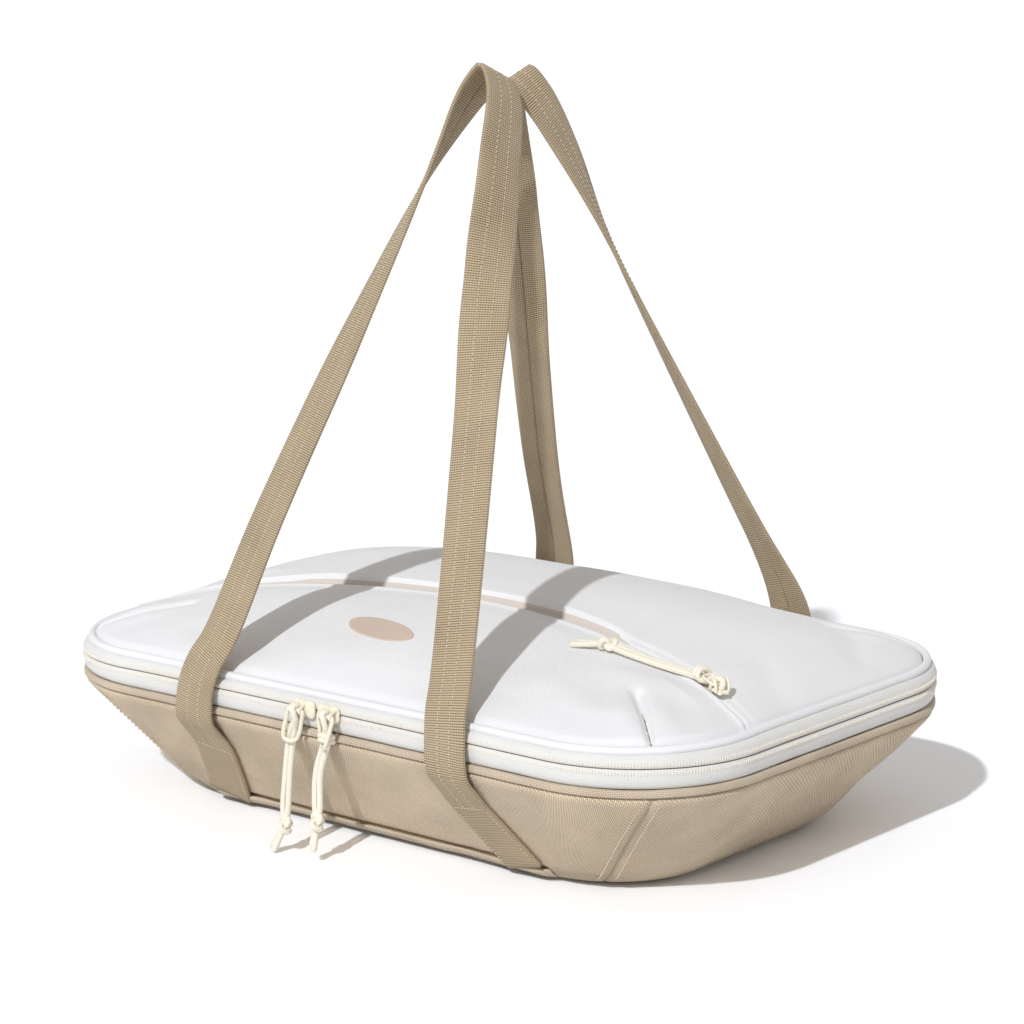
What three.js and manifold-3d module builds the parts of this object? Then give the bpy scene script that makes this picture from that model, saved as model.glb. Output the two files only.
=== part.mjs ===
// Casserole carrier: a tan canvas tub with a zipped, domed lid, four sewn strap ends and two webbing handles.
// Millimetres, +Z up, X along the long side, -Y the front. The origin is the middle of the flat bottom.

import * as THREE from 'three';
import { mergeVertices } from 'three/addons/utils/BufferGeometryUtils.js';
import Module from 'manifold-3d';

const wasm = await Module();
wasm.setup();

// Rim: the zip line is the widest line of the carrier
const RIM_HALF_X = 230.5;
const RIM_HALF_Y = 154;
const RIM_CORNER = 78;
const ZIP_Z = 83.3;

// Tub outline by height: each level lies this far inside the zip line
const FOOT_Z = 3;
const FOLD_Z = 10;
const WALL_TOP = 64.4;
const TUB = [
  { z: 0, x: RIM_HALF_X - 64.5, y: RIM_HALF_Y - 60, r: RIM_CORNER - 26 },
  { z: FOOT_Z, x: RIM_HALF_X - 56.5, y: RIM_HALF_Y - 51, r: RIM_CORNER - 22 },
  { z: FOLD_Z, x: RIM_HALF_X - 46.5, y: RIM_HALF_Y - 43, r: RIM_CORNER - 18 },
  { z: WALL_TOP, x: RIM_HALF_X - 1.5, y: RIM_HALF_Y - 1.5, r: RIM_CORNER - 1 },
];

// Sheet thicknesses and the clearance kept between neighbours
const CLEAR = 0.3;
const LAYER_CLEAR = 0.8;
const CANVAS = 1.2;
const BOARD = 2.5;
const FOAM = 5;
const LINING = 0.8;
const TAPE = 1.2;
const WEBBING = 2.6;
const WEBBING_WIDTH = 29.4;

// Heights of the rim bands
const BINDING_TOP = WALL_TOP + 6;
const ZIP_GAP = 1.2;
const LOWER_TAPE_TOP = ZIP_Z - ZIP_GAP / 2;
const UPPER_TAPE_BOTTOM = ZIP_Z + ZIP_GAP / 2;
const UPPER_TAPE_TOP = ZIP_Z + 10.7;
const TAPE_LEAN = 3;
const ZIP_INSET = 0.2;
const PIPING_RADIUS = 2.4;
const PIPING_INSET = TAPE_LEAN + 2.5;
const PIPING_Z = UPPER_TAPE_TOP + PIPING_RADIUS + CLEAR / 2;

// Lid dome: it passes through the arc of the pocket zip
const LID_EDGE_Z = ZIP_Z + 14.7;
const LID_INSET = PIPING_INSET + PIPING_RADIUS + CLEAR * 2;
const POCKET_HOLLOW = 4.6;
const ARC_RADIUS = 475;
const ARC_APEX = new THREE.Vector3(0, -20, LID_EDGE_Z + 22.5);
const REAR_FULLNESS = (ARC_APEX.z - LID_EDGE_Z) * 0.36;
const ARC_RISE = new THREE.Vector3(0, 48, 18.5).normalize();
const ARC_AXIS = new THREE.Vector3(1, 0, 0).cross(ARC_RISE);
const ARC_CENTRE = ARC_APEX.clone().addScaledVector(ARC_RISE, -ARC_RADIUS);
const ARC_TILT = THREE.MathUtils.degToRad(20);
const ARC_END_GAP = 3.4;
const ARC_HALF_ANGLE = Math.asin((RIM_HALF_X - LID_INSET - ARC_END_GAP) / ARC_RADIUS);
const POCKET_TAPE = 6;
const POCKET_SLIDER_X = RIM_HALF_X - 35;
const POCKET_SLIDER_ANGLE = Math.asin(POCKET_SLIDER_X / ARC_RADIUS);

// Straps
const STRAP_X = 93.5;
const STRAP_PIVOT_Z = 46;
const STRAP_BOTTOM_Z = FOLD_Z - 0.2;
const STRAP_SPLAY = 14;
const WELT_HALF_X = STRAP_X + STRAP_SPLAY + 16.5;

// Sliders and pulls
const SLIDER_X = 10.9;
const SLIDER_LENGTH = 11;
const SLIDER_WIDTH = 8;
const SLIDER_PLATE = 1.7;
const WIRE_RADIUS = 0.85;
const CORD_RADIUS = 1.2;
const BAR_STANDOFF = SLIDER_PLATE + 2 * CORD_RADIUS + WIRE_RADIUS + 3 * CLEAR;
const BAIL_WIDTH = 13;
const BAIL_LENGTH = 19;

const TAN = 0xb9a382;
const WEB = 0xa8967a;
const WHITE = 0xeeeef0;
const CREAM = 0xf3ecd6;
const BOARD_GREY = 0x6b6b6b;
const FOAM_GREY = 0xd8d8d8;
const LINING_GREY = 0xc9ccd0;

const group = new THREE.Group();
group.name = 'casserole_carrier';

const vec = (x, y, z) => new THREE.Vector3(x, y, z);

function addMesh(name, geometry, color) {
  const material = new THREE.MeshStandardMaterial({ color, roughness: 0.9 });
  const mesh = new THREE.Mesh(geometry, material);
  mesh.name = name;
  group.add(mesh);
}

// Rounded rectangle seen from above, from the rear left corner round by the front to the rear right corner
function ring(halfX, halfY, r, z, arc = 6, alongX = 0, alongY = 0) {
  const corners = [
    [-1, 1, 90],
    [-1, -1, 180],
    [1, -1, 270],
    [1, 1, 0],
  ];
  const splits = [alongY, alongX, alongY, alongX];
  const arcs = corners.map(([sx, sy, start]) => {
    const points = [];
    for (let i = 0; i <= arc; i += 1) {
      const t = THREE.MathUtils.degToRad(start + (90 * i) / arc);
      points.push(vec(sx * (halfX - r) + r * Math.cos(t), sy * (halfY - r) + r * Math.sin(t), z));
    }
    return points;
  });
  const out = [];
  arcs.forEach((points, k) => {
    out.push(...points);
    const next = arcs[(k + 1) % 4][0];
    for (let i = 1; i <= splits[k]; i += 1) {
      out.push(points[arc].clone().lerp(next, i / (splits[k] + 1)));
    }
  });
  return out;
}

function rimRing(inset, z, arc = 6) {
  return ring(RIM_HALF_X - inset, RIM_HALF_Y - inset, RIM_CORNER - inset, z, arc);
}

function tubAt(z) {
  const i = Math.max(1, TUB.findIndex((level) => level.z >= z));
  const [low, high] = [TUB[i - 1], TUB[i]];
  const t = (z - low.z) / (high.z - low.z);
  const mix = (key) => low[key] + (high[key] - low[key]) * t;
  return { x: mix('x'), y: mix('y'), r: mix('r') };
}

function tubRing(z, inset) {
  const { x, y, r } = tubAt(z);
  return ring(x - inset, y - inset, r - inset, z);
}

// A closed solid through a row of loops; looped joins the last to the first, otherwise both ends are capped
function loft(loops, looped = false, middles = null) {
  const count = loops[0].length;
  const positions = loops.flat().flatMap((p) => [p.x, p.y, p.z]);
  const index = [];
  const rows = looped ? loops.length : loops.length - 1;
  for (let i = 0; i < rows; i += 1) {
    const a = i * count;
    const b = ((i + 1) % loops.length) * count;
    for (let j = 0; j < count; j += 1) {
      const k = (j + 1) % count;
      index.push(a + j, a + k, b + k, a + j, b + k, b + j);
    }
  }
  if (!looped) {
    [0, loops.length - 1].forEach((row, end) => {
      const sum = loops[row].reduce((s, p) => s.add(p), vec(0, 0, 0));
      const middle = middles ? middles[end] : sum.divideScalar(count);
      const m = positions.length / 3;
      positions.push(middle.x, middle.y, middle.z);
      for (let j = 0; j < count; j += 1) {
        const k = (j + 1) % count;
        index.push(m, row * count + (end ? j : k), row * count + (end ? k : j));
      }
    });
  }
  let volume = 0;
  const at = (i) => vec(positions[3 * i], positions[3 * i + 1], positions[3 * i + 2]);
  for (let i = 0; i < index.length; i += 3) {
    volume += at(index[i]).dot(at(index[i + 1]).cross(at(index[i + 2])));
  }
  if (volume < 0) {
    index.reverse();
  }
  const geometry = new THREE.BufferGeometry();
  geometry.setAttribute('position', new THREE.Float32BufferAttribute(positions, 3));
  geometry.setIndex(index);
  return geometry;
}

// A band with a four-sided section, given by its four corner lines
function band(lines, looped = false) {
  return loft(lines[0].map((_, i) => lines.map((points) => points[i])), looped);
}

function solid(geometry) {
  const bare = geometry.clone();
  bare.deleteAttribute('normal');
  bare.deleteAttribute('uv');
  const welded = mergeVertices(bare, 1e-4);
  const vertProperties = new Float32Array(welded.attributes.position.array);
  const triVerts = new Uint32Array(welded.index.array);
  return new wasm.Manifold(new wasm.Mesh({ numProp: 3, vertProperties, triVerts }));
}

function geometryOf(body) {
  const mesh = body.getMesh();
  const geometry = new THREE.BufferGeometry();
  geometry.setAttribute('position', new THREE.Float32BufferAttribute(mesh.vertProperties, 3));
  geometry.setIndex(Array.from(mesh.triVerts));
  return geometry;
}

function prism(outline, depth, matrix) {
  const shape = new THREE.Shape(outline.map(([x, y]) => new THREE.Vector2(x, y)));
  const geometry = new THREE.ExtrudeGeometry(shape, { depth, bevelEnabled: false });
  return geometry.applyMatrix4(matrix);
}

function tube(points, radius, steps) {
  const curve = new THREE.CatmullRomCurve3(points, false, 'centripetal');
  const outline = new THREE.Shape();
  outline.absarc(0, 0, radius, 0, Math.PI * 2);
  const options = { steps, extrudePath: curve, curveSegments: 4, bevelEnabled: false };
  return new THREE.ExtrudeGeometry(outline, options);
}

// Tub: bottom, board, foam, lining and four wall panels seamed at the corners
const BOTTOM_TOP = 1.6;
const BOARD_BOTTOM = BOTTOM_TOP + CLEAR;
const FOAM_BOTTOM = BOARD_BOTTOM + BOARD + CLEAR;
const FLOOR_BOTTOM = FOAM_BOTTOM + FOAM + CLEAR;
const FLOOR_TOP = FLOOR_BOTTOM + LINING;
const FOAM_TOP = ZIP_Z - 5.3;
const WALL_BOTTOM = BOTTOM_TOP + CLEAR;

addMesh('base_bottom_panel', loft([tubRing(0, 0), tubRing(BOTTOM_TOP, 0)]), TAN);
const boardInset = CANVAS + 4;
const boardRings = [BOARD_BOTTOM, BOARD_BOTTOM + BOARD].map((z) => tubRing(z, boardInset));
addMesh('base_board', loft(boardRings), BOARD_GREY);

const wall = solid(
  loft(
    [
      tubRing(WALL_BOTTOM, 0),
      tubRing(FOOT_Z, 0),
      tubRing(FOLD_Z, 0),
      tubRing(WALL_TOP, 0),
      tubRing(WALL_TOP, CANVAS),
      tubRing(FOLD_Z, CANVAS),
      tubRing(FOOT_Z, CANVAS),
      tubRing(WALL_BOTTOM, CANVAS),
    ],
    true,
  ),
);
const CORNER_MIDDLE = 17;
const cornerAt = (z) => {
  const p = tubRing(z, 0)[CORNER_MIDDLE];
  return vec(Math.abs(p.x), Math.abs(p.y), 0);
};
const seamLow = cornerAt(FOOT_Z);
const seamWay = cornerAt(WALL_TOP).sub(seamLow).normalize();
const seamIn = seamLow.clone().addScaledVector(seamWay, -RIM_CORNER * 0.77);
const seamOut = seamLow.clone().addScaledVector(seamWay, RIM_CORNER * 1.54);
const half = CLEAR / 2;
const upright = new THREE.Matrix4().makeTranslation(0, 0, -BOTTOM_TOP);
const longSide = (s) => [
  [-seamIn.x + half, s * (seamIn.y + half)],
  [seamIn.x - half, s * (seamIn.y + half)],
  [seamOut.x - half, s * (seamOut.y + half)],
  [-seamOut.x + half, s * (seamOut.y + half)],
];
const endSide = (s) => [
  [s * (seamIn.x + half), -seamIn.y + half],
  [s * (seamOut.x + half), -seamOut.y + half],
  [s * (seamOut.x + half), seamOut.y - half],
  [s * (seamIn.x + half), seamIn.y - half],
];
const seamHeight = WALL_TOP + 2 * BOTTOM_TOP;
const wallPart = (outline) => geometryOf(wall.intersect(solid(prism(outline, seamHeight, upright))));
addMesh('base_front_panel', wallPart(longSide(-1)), TAN);
addMesh('base_rear_panel', wallPart(longSide(1)), TAN);
addMesh('base_left_end_panel', wallPart(endSide(-1)), TAN);
addMesh('base_right_end_panel', wallPart(endSide(1)), TAN);

const FOAM_INSET = CANVAS + 1.5;
const foamIn = FOAM_INSET + FOAM;
const rimFoam = 6;
addMesh(
  'base_foam',
  loft(
    [
      tubRing(FOAM_BOTTOM, FOAM_INSET),
      tubRing(FOLD_Z, FOAM_INSET),
      tubRing(WALL_TOP, FOAM_INSET + 1),
      rimRing(rimFoam, FOAM_TOP),
      rimRing(rimFoam + FOAM, FOAM_TOP),
      tubRing(WALL_TOP, foamIn + 1),
      tubRing(FOAM_BOTTOM + FOAM, foamIn),
    ],
    false,
    [vec(0, 0, FOAM_BOTTOM), vec(0, 0, FOAM_BOTTOM + FOAM)],
  ),
  FOAM_GREY,
);
const liningOut = foamIn + CLEAR * 2;
const liningIn = liningOut + LINING;
addMesh(
  'base_lining',
  loft(
    [
      tubRing(FLOOR_BOTTOM, liningOut),
      tubRing(WALL_TOP, liningOut + 1),
      rimRing(rimFoam + FOAM + CLEAR * 2, FOAM_TOP),
      rimRing(rimFoam + FOAM + CLEAR * 2 + LINING, FOAM_TOP),
      tubRing(WALL_TOP, liningIn + 1),
      tubRing(FLOOR_TOP, liningIn),
    ],
    false,
    [vec(0, 0, FLOOR_BOTTOM), vec(0, 0, FLOOR_TOP)],
  ),
  LINING_GREY,
);

// Rim binding, zip tapes, coils, rear hinge strips and piping
const bindingBottom = WALL_TOP + CLEAR;
addMesh(
  'base_rim_binding',
  band(
    [
      rimRing(0.6, bindingBottom),
      rimRing(-0.6, (bindingBottom + BINDING_TOP) / 2),
      rimRing(0.8, BINDING_TOP),
      rimRing(3.4, BINDING_TOP),
      rimRing(3.4, bindingBottom),
    ],
    true,
  ),
  TAN,
);
const LOWER_TAPE_BOTTOM = BINDING_TOP + CLEAR;
const tapeLines = (low, high, lowInset, highInset) => [
  rimRing(lowInset, low),
  rimRing(highInset, high),
  rimRing(highInset + TAPE, high),
  rimRing(lowInset + TAPE, low),
];
const rearStrip = (lines) => {
  const corner = RIM_HALF_X - RIM_CORNER - CLEAR;
  const across = lines.map((points) => points[0]);
  return loft([-1, 1].map((s) => across.map((p) => vec(s * corner, p.y, p.z))));
};
const lowerTape = tapeLines(LOWER_TAPE_BOTTOM, LOWER_TAPE_TOP, TAPE_LEAN, ZIP_INSET);
const upperTape = tapeLines(UPPER_TAPE_BOTTOM, UPPER_TAPE_TOP, ZIP_INSET, TAPE_LEAN);
addMesh('lower_zip_tape', band(lowerTape), WHITE);
addMesh('upper_zip_tape', band(upperTape), WHITE);
addMesh('rear_hinge_lower_strip', rearStrip(lowerTape), WHITE);
addMesh('rear_hinge_upper_strip', rearStrip(upperTape), WHITE);
const COIL = 1.5;
const END_STOP = 4;
const coilInset = ZIP_INSET + TAPE + CLEAR * 3;
const coilLines = (low) => [
  rimRing(coilInset, low),
  rimRing(coilInset, low + COIL),
  rimRing(coilInset + COIL, low + COIL),
  rimRing(coilInset + COIL, low),
];
addMesh('lower_zip_coil', band(coilLines(LOWER_TAPE_TOP - COIL)), CREAM);
addMesh('upper_zip_coil', band(coilLines(UPPER_TAPE_BOTTOM)), CREAM);
[-1, 1].forEach((s) => {
  const name = s < 0 ? 'left_zip_end_stop' : 'right_zip_end_stop';
  const stop = new THREE.BoxGeometry(END_STOP, COIL, END_STOP);
  const x = s * (RIM_HALF_X - RIM_CORNER - END_STOP * 1.5);
  stop.translate(x, RIM_HALF_Y - coilInset - COIL, LOWER_TAPE_TOP - END_STOP / 2);
  addMesh(name, stop, CREAM);
});
const pipingPath = rimRing(PIPING_INSET, PIPING_Z, 7);
addMesh(
  'lid_piping',
  loft(
    pipingPath.map((p, i) => {
      const before = pipingPath[(i + pipingPath.length - 1) % pipingPath.length];
      const after = pipingPath[(i + 1) % pipingPath.length];
      const out = after.clone().sub(before).normalize().cross(vec(0, 0, 1));
      return Array.from({ length: 8 }, (_, k) => {
        const t = (k * Math.PI) / 4;
        const shifted = p.clone().addScaledVector(out, PIPING_RADIUS * Math.cos(t));
        shifted.z += PIPING_RADIUS * Math.sin(t);
        return shifted;
      });
    }),
    true,
  ),
  WHITE,
);

// Base welts and the sewn strap ends on the front and rear walls
const wallStrip = (s, lowX, highX, halfWidth, z0, z1, thick) => {
  const row = (x, z) => {
    const [x0, x1] = [x - halfWidth, x + halfWidth];
    const y = tubAt(z).y + CLEAR;
    const outer = y + thick;
    return [vec(x0, s * y, z), vec(x1, s * y, z), vec(x1, s * outer, z), vec(x0, s * outer, z)];
  };
  return loft([row(lowX, z0), row(highX, z1)]);
};
const weltStrip = (s) =>
  wallStrip(s, 0, 0, WELT_HALF_X, FOOT_Z + CLEAR, FOLD_Z - CLEAR * 4, 2 * CANVAS);
addMesh('front_base_welt', weltStrip(-1), TAN);
addMesh('rear_base_welt', weltStrip(1), TAN);
const anchorTop = STRAP_PIVOT_Z - WEBBING / 2 - CLEAR * 4;
[
  ['front_left_strap_anchor', -1, -1],
  ['front_right_strap_anchor', -1, 1],
  ['rear_left_strap_anchor', 1, -1],
  ['rear_right_strap_anchor', 1, 1],
].forEach(([name, side, end]) => {
  const footX = end * (STRAP_X + STRAP_SPLAY);
  const strip = wallStrip(side, footX, end * STRAP_X, WEBBING_WIDTH / 2, STRAP_BOTTOM_Z, anchorTop, WEBBING);
  addMesh(name, strip, WEB);
});

// Lid dome over the pocket zip's arc
const bow = (y) => 1 - Math.abs(y / (RIM_HALF_Y - 3)) ** 2.2;
const sag = (x) => ARC_RADIUS - Math.sqrt(ARC_RADIUS ** 2 - x ** 2);
function domeZ(x, y) {
  const arcY = ARC_APEX.y - sag(x) * ARC_RISE.y;
  const arcZ = ARC_APEX.z - sag(x) * ARC_RISE.z;
  const fade = 1 - Math.abs(x / RIM_HALF_X) ** 14;
  const rearShare = THREE.MathUtils.clamp((y - arcY) / (RIM_HALF_Y - LID_INSET - arcY), 0, 1);
  const endFade = 1 - Math.abs(x / RIM_HALF_X) ** 4;
  const fullness = REAR_FULLNESS * Math.sin(Math.PI * rearShare) ** 1.3 * endFade;
  return LID_EDGE_Z + ((arcZ - LID_EDGE_Z) * fade * bow(y)) / bow(arcY) + fullness;
}
const SHRINK = [1, 0.93, 0.8, 0.64, 0.46, 0.22];
function domeSheet(top, thick, inset) {
  const rim = ring(RIM_HALF_X - inset, RIM_HALF_Y - inset, RIM_CORNER - inset, 0, 4, 6, 2);
  const onDome = (x, y, drop) => vec(x, y, domeZ(x, y) - drop);
  const layer = (drop) => SHRINK.map((s) => rim.map((p) => onDome(p.x * s, p.y * s, drop)));
  const upper = layer(top).reverse();
  const lower = layer(top + thick);
  const centre = (drop) => vec(0, 0, domeZ(0, 0) - drop);
  return loft([...upper, ...lower], false, [centre(top), centre(top + thick)]);
}
const arcFrame = new THREE.Matrix4().makeBasis(vec(1, 0, 0), ARC_RISE, ARC_AXIS).setPosition(ARC_CENTRE);
function arcPrism(radius) {
  const outline = [[0, 0]];
  for (let i = -12; i <= 12; i += 1) {
    const t = (ARC_HALF_ANGLE * 1.2 * i) / 12;
    outline.push([radius * Math.sin(-t), radius * Math.cos(t)]);
  }
  const lift = new THREE.Matrix4().makeTranslation(0, 0, -120);
  return solid(prism(outline, 300, arcFrame.clone().multiply(lift)));
}
const dome = solid(domeSheet(0, CANVAS, LID_INSET));
const seamRoom = POCKET_TAPE + CLEAR * 2;
addMesh('lid_pocket_panel', geometryOf(dome.intersect(arcPrism(ARC_RADIUS - seamRoom))), WHITE);
addMesh('lid_rear_panel', geometryOf(dome.subtract(arcPrism(ARC_RADIUS + seamRoom))), WHITE);
const pocketBackTop = CANVAS + POCKET_HOLLOW;
const pocketBack = solid(domeSheet(pocketBackTop, LINING, PIPING_INSET));
addMesh('pocket_back_panel', geometryOf(pocketBack.intersect(arcPrism(ARC_RADIUS + seamRoom))), WHITE);
const lidFoamTop = pocketBackTop + LINING + LAYER_CLEAR + CLEAR;
const lidFoamInset = LID_INSET + 2;
addMesh('lid_foam', domeSheet(lidFoamTop, FOAM, lidFoamInset), FOAM_GREY);
addMesh('lid_lining', domeSheet(lidFoamTop + FOAM + LAYER_CLEAR, LINING, lidFoamInset), LINING_GREY);

// Pocket zip tapes on the arc; across points to the rear and out points up from the cloth
function arcAxes(angle) {
  const rise = vec(Math.sin(angle), 0, 0).addScaledVector(ARC_RISE, Math.cos(angle));
  const along = vec(Math.cos(angle), 0, 0).addScaledVector(ARC_RISE, -Math.sin(angle));
  const [cos, sin] = [Math.cos(ARC_TILT), Math.sin(ARC_TILT)];
  const across = rise.clone().multiplyScalar(cos).addScaledVector(ARC_AXIS, -sin);
  const out = rise.clone().multiplyScalar(sin).addScaledVector(ARC_AXIS, cos);
  const point = ARC_CENTRE.clone().addScaledVector(rise, ARC_RADIUS);
  return { point, along, across, out };
}
const pocketTape = (b0, b1) => {
  const loops = [];
  for (let i = 0; i <= 24; i += 1) {
    const { point, across, out } = arcAxes(ARC_HALF_ANGLE * (i / 12 - 1));
    const corner = (b, w) => point.clone().addScaledVector(across, b).addScaledVector(out, w);
    loops.push([corner(b0, 0), corner(b1, 0), corner(b1, -TAPE), corner(b0, -TAPE)]);
  }
  return loft(loops);
};
const zipHalf = ZIP_GAP / 2 + CLEAR / 3;
addMesh('pocket_front_zip_tape', pocketTape(-POCKET_TAPE, -zipHalf), WHITE);
addMesh('pocket_rear_zip_tape', pocketTape(zipHalf, POCKET_TAPE), WHITE);

// Blank oval label sewn on the pocket panel
const LABEL = { x: -12, y: -89, halfX: 25, halfY: 14.5 };
const labelRing = (scale, lift) =>
  Array.from({ length: 20 }, (_, i) => {
    const t = (i * Math.PI) / 10;
    const x = LABEL.x + LABEL.halfX * scale * Math.cos(t);
    const y = LABEL.y + LABEL.halfY * scale * Math.sin(t);
    return vec(x, y, domeZ(x, y) + lift);
  });
const labelFoot = CLEAR * 2;
const labelTop = labelFoot + LINING;
const labelRings = [
  labelRing(0.5, labelFoot),
  labelRing(1, labelFoot),
  labelRing(1, labelTop),
  labelRing(0.5, labelTop),
];
const labelMiddles = [labelFoot, labelTop].map((lift) => {
  return vec(LABEL.x, LABEL.y, domeZ(LABEL.x, LABEL.y) + lift);
});
addMesh('label_patch', loft(labelRings, false, labelMiddles), TAN);

// Handles: one length of webbing each, twisting a quarter turn on each leg so that it lies flat over the top
const FRONT_TOP_X = 5;
const REAR_TOP_X = -2;
const HANDLE_TOP_Y = WEBBING_WIDTH / 2 + CLEAR;
const HANDLE_TOP_Z = 417;
const LEAN_Z = ZIP_Z + 13.7;
// Twist of each leg in degrees, by its share of the way from the lean to the top
const TWIST_SHARES = [0, 0.12, 0.5, 0.73, 0.85, 1];
const TWISTS = {
  frontRight: [0, -6, -4, 40, 82, 90],
  frontLeft: [0, 9, 18, 36, 52, 90],
  rearRight: [0, 22, 40, 50, 72, 90],
  rearLeft: [0, -8, 0, 40, 78, 90],
};
function twistAt(twists, share) {
  const i = Math.max(1, TWIST_SHARES.findIndex((s) => s >= share));
  const part = (share - TWIST_SHARES[i - 1]) / (TWIST_SHARES[i] - TWIST_SHARES[i - 1]);
  return THREE.MathUtils.degToRad(twists[i - 1] + (twists[i] - twists[i - 1]) * part);
}
const handleLeg = [
  [STRAP_X, RIM_HALF_Y - 13.4, STRAP_PIVOT_Z],
  [STRAP_X - 0.3, RIM_HALF_Y - 4.4, STRAP_PIVOT_Z + 10],
  [STRAP_X - 0.9, RIM_HALF_Y + 2, WALL_TOP - 0.9],
  [STRAP_X - 1.4, RIM_HALF_Y + 3.4, BINDING_TOP - 0.4],
  [STRAP_X - 2.2, RIM_HALF_Y + 3.2, ZIP_Z + 0.7],
  [STRAP_X - 4.2, RIM_HALF_Y + 0.4, LEAN_Z],
  [STRAP_X - 7.5, RIM_HALF_Y - 6.5, LEAN_Z + 15],
  [STRAP_X * 0.76, RIM_HALF_Y * 0.78, HANDLE_TOP_Z * 0.425],
  [STRAP_X * 0.396, RIM_HALF_Y * 0.416, HANDLE_TOP_Z * 0.736],
  [STRAP_X * 0.23, HANDLE_TOP_Y + 20, HANDLE_TOP_Z - 44],
  [STRAP_X * 0.107, HANDLE_TOP_Y + 4, HANDLE_TOP_Z - 10],
];
function handle(side, topX, rightTwist, leftTwist) {
  const share = (z) => THREE.MathUtils.clamp((z - LEAN_Z) / (HANDLE_TOP_Z - LEAN_Z), 0, 1);
  const leg = (s) => handleLeg.map(([x, y, z]) => vec(s * x + topX * share(z), side * y, z));
  const path = [...leg(1), vec(topX, side * HANDLE_TOP_Y, HANDLE_TOP_Z), ...leg(-1).reverse()];
  const curve = new THREE.CatmullRomCurve3(path, false, 'centripetal');
  const loops = [];
  const steps = 96;
  for (let i = 0; i <= steps; i += 1) {
    const t = i / steps;
    const point = curve.getPointAt(t);
    const way = curve.getTangentAt(t);
    const climb = share(point.z);
    const turn = twistAt(t < 0.5 ? rightTwist : leftTwist, climb);
    const s = t < 0.5 ? 1 : -1;
    const width = vec(s * Math.cos(turn), -side * Math.sin(turn), -0.42 * climb ** 4);
    width.addScaledVector(way, -width.dot(way)).normalize();
    const out = width.clone().cross(way).normalize();
    const corner = (a, b) =>
      point.clone().addScaledVector(width, (a * WEBBING_WIDTH) / 2).addScaledVector(out, (b * WEBBING) / 2);
    loops.push([corner(-1, -1), corner(1, -1), corner(1, 1), corner(-1, 1)]);
  }
  return loft(loops);
}
addMesh('front_handle_webbing', handle(-1, FRONT_TOP_X, TWISTS.frontRight, TWISTS.frontLeft), WEB);
addMesh('rear_handle_webbing', handle(1, REAR_TOP_X, TWISTS.rearRight, TWISTS.rearLeft), WEB);

// Sliders, wire bails and cord pulls, built about the bail's bar: bar way, hanging way and outward way
function boxAt(b, h, w, sizeB, sizeH, sizeW) {
  return new THREE.BoxGeometry(sizeB, sizeH, sizeW).translate(b, h, w);
}
function sliderBody(plateB, plateH, neck, innerDrop) {
  const plateW = -BAR_STANDOFF + SLIDER_PLATE / 2;
  const post = BAR_STANDOFF + WIRE_RADIUS + CLEAR + 0.8 - SLIDER_PLATE;
  const postW = -BAR_STANDOFF + SLIDER_PLATE + post / 2 - 0.2;
  let body = solid(boxAt(0, 0, plateW, plateB, plateH, SLIDER_PLATE));
  [-1, 1].forEach((s) => {
    body = body.add(solid(boxAt(s * 3.9, 0, postW, 1.4, 4, post + 0.4)));
  });
  const bore = WIRE_RADIUS + CLEAR;
  const hole = new THREE.CylinderGeometry(bore, bore, 2 * SLIDER_LENGTH, 12).rotateZ(Math.PI / 2);
  body = body.subtract(solid(hole));
  const neckDepth = innerDrop + 0.2;
  body = body.add(solid(boxAt(0, 0, -BAR_STANDOFF - innerDrop / 2 + 0.1, neck[0], neck[1], neckDepth)));
  return body.add(solid(boxAt(0, 0, -BAR_STANDOFF - innerDrop, plateB * 0.8, plateH * 0.7, 1)));
}
function bailLoop() {
  const path = [];
  const wide = BAIL_WIDTH / 2;
  const line = [
    [-wide + 1, 0],
    [wide - 1, 0],
    [wide, 1.2],
    [wide, BAIL_LENGTH - 5],
    [wide * 0.7, BAIL_LENGTH - 1.5],
    [0, BAIL_LENGTH],
    [-wide * 0.7, BAIL_LENGTH - 1.5],
    [-wide, BAIL_LENGTH - 5],
    [-wide, 1.2],
  ];
  line.forEach(([b, h]) => path.push(vec(b, h, 0)));
  const loops = path.map((p, i) => {
    const before = path[(i + path.length - 1) % path.length];
    const after = path[(i + 1) % path.length];
    const out = after.clone().sub(before).normalize().cross(vec(0, 0, 1));
    return Array.from({ length: 8 }, (_, k) => {
      const t = ((k + 0.5) * Math.PI) / 4;
      const shifted = p.clone().addScaledVector(out, WIRE_RADIUS * Math.cos(t));
      shifted.z += WIRE_RADIUS * Math.sin(t);
      return shifted;
    });
  });
  return loft(loops, true);
}
// The doubled cord goes over the bail's bar, both strands into one knot, two tails beyond it
function pullCord(way, knot, tailA, tailB) {
  const turn = WIRE_RADIUS + CLEAR * 1.5 + CORD_RADIUS;
  const path = [
    ...way.map((p) => vec(p.x - 1.5, p.y, p.z)).reverse(),
    vec(-0.6, 4.6, turn * 0.7),
    vec(0, 0.6, turn),
    vec(0, -turn * 0.72, turn * 0.72),
    vec(0, -turn, 0),
    vec(0, -turn * 0.72, -turn * 0.72),
    vec(0, 0.6, -turn),
    vec(0.6, 4.6, -turn * 0.7),
    ...way.map((p) => vec(p.x + 1.5, p.y, p.z)),
  ];
  const lump = new THREE.SphereGeometry(1, 10, 7).scale(4.6, 5.4, 4.2).translate(knot.x, knot.y, knot.z);
  let body = solid(tube(path, CORD_RADIUS, 44)).add(solid(lump));
  [tailA, tailB].forEach((tail) => {
    body = body.add(solid(tube([knot, knot.clone().lerp(tail, 0.5), tail], CORD_RADIUS, 4)));
  });
  return geometryOf(body);
}
function placeAt(geometry, bar, hang, out, point) {
  const matrix = new THREE.Matrix4().makeBasis(bar, hang, out).setPosition(point);
  return geometry.clone().applyMatrix4(matrix);
}

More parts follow.
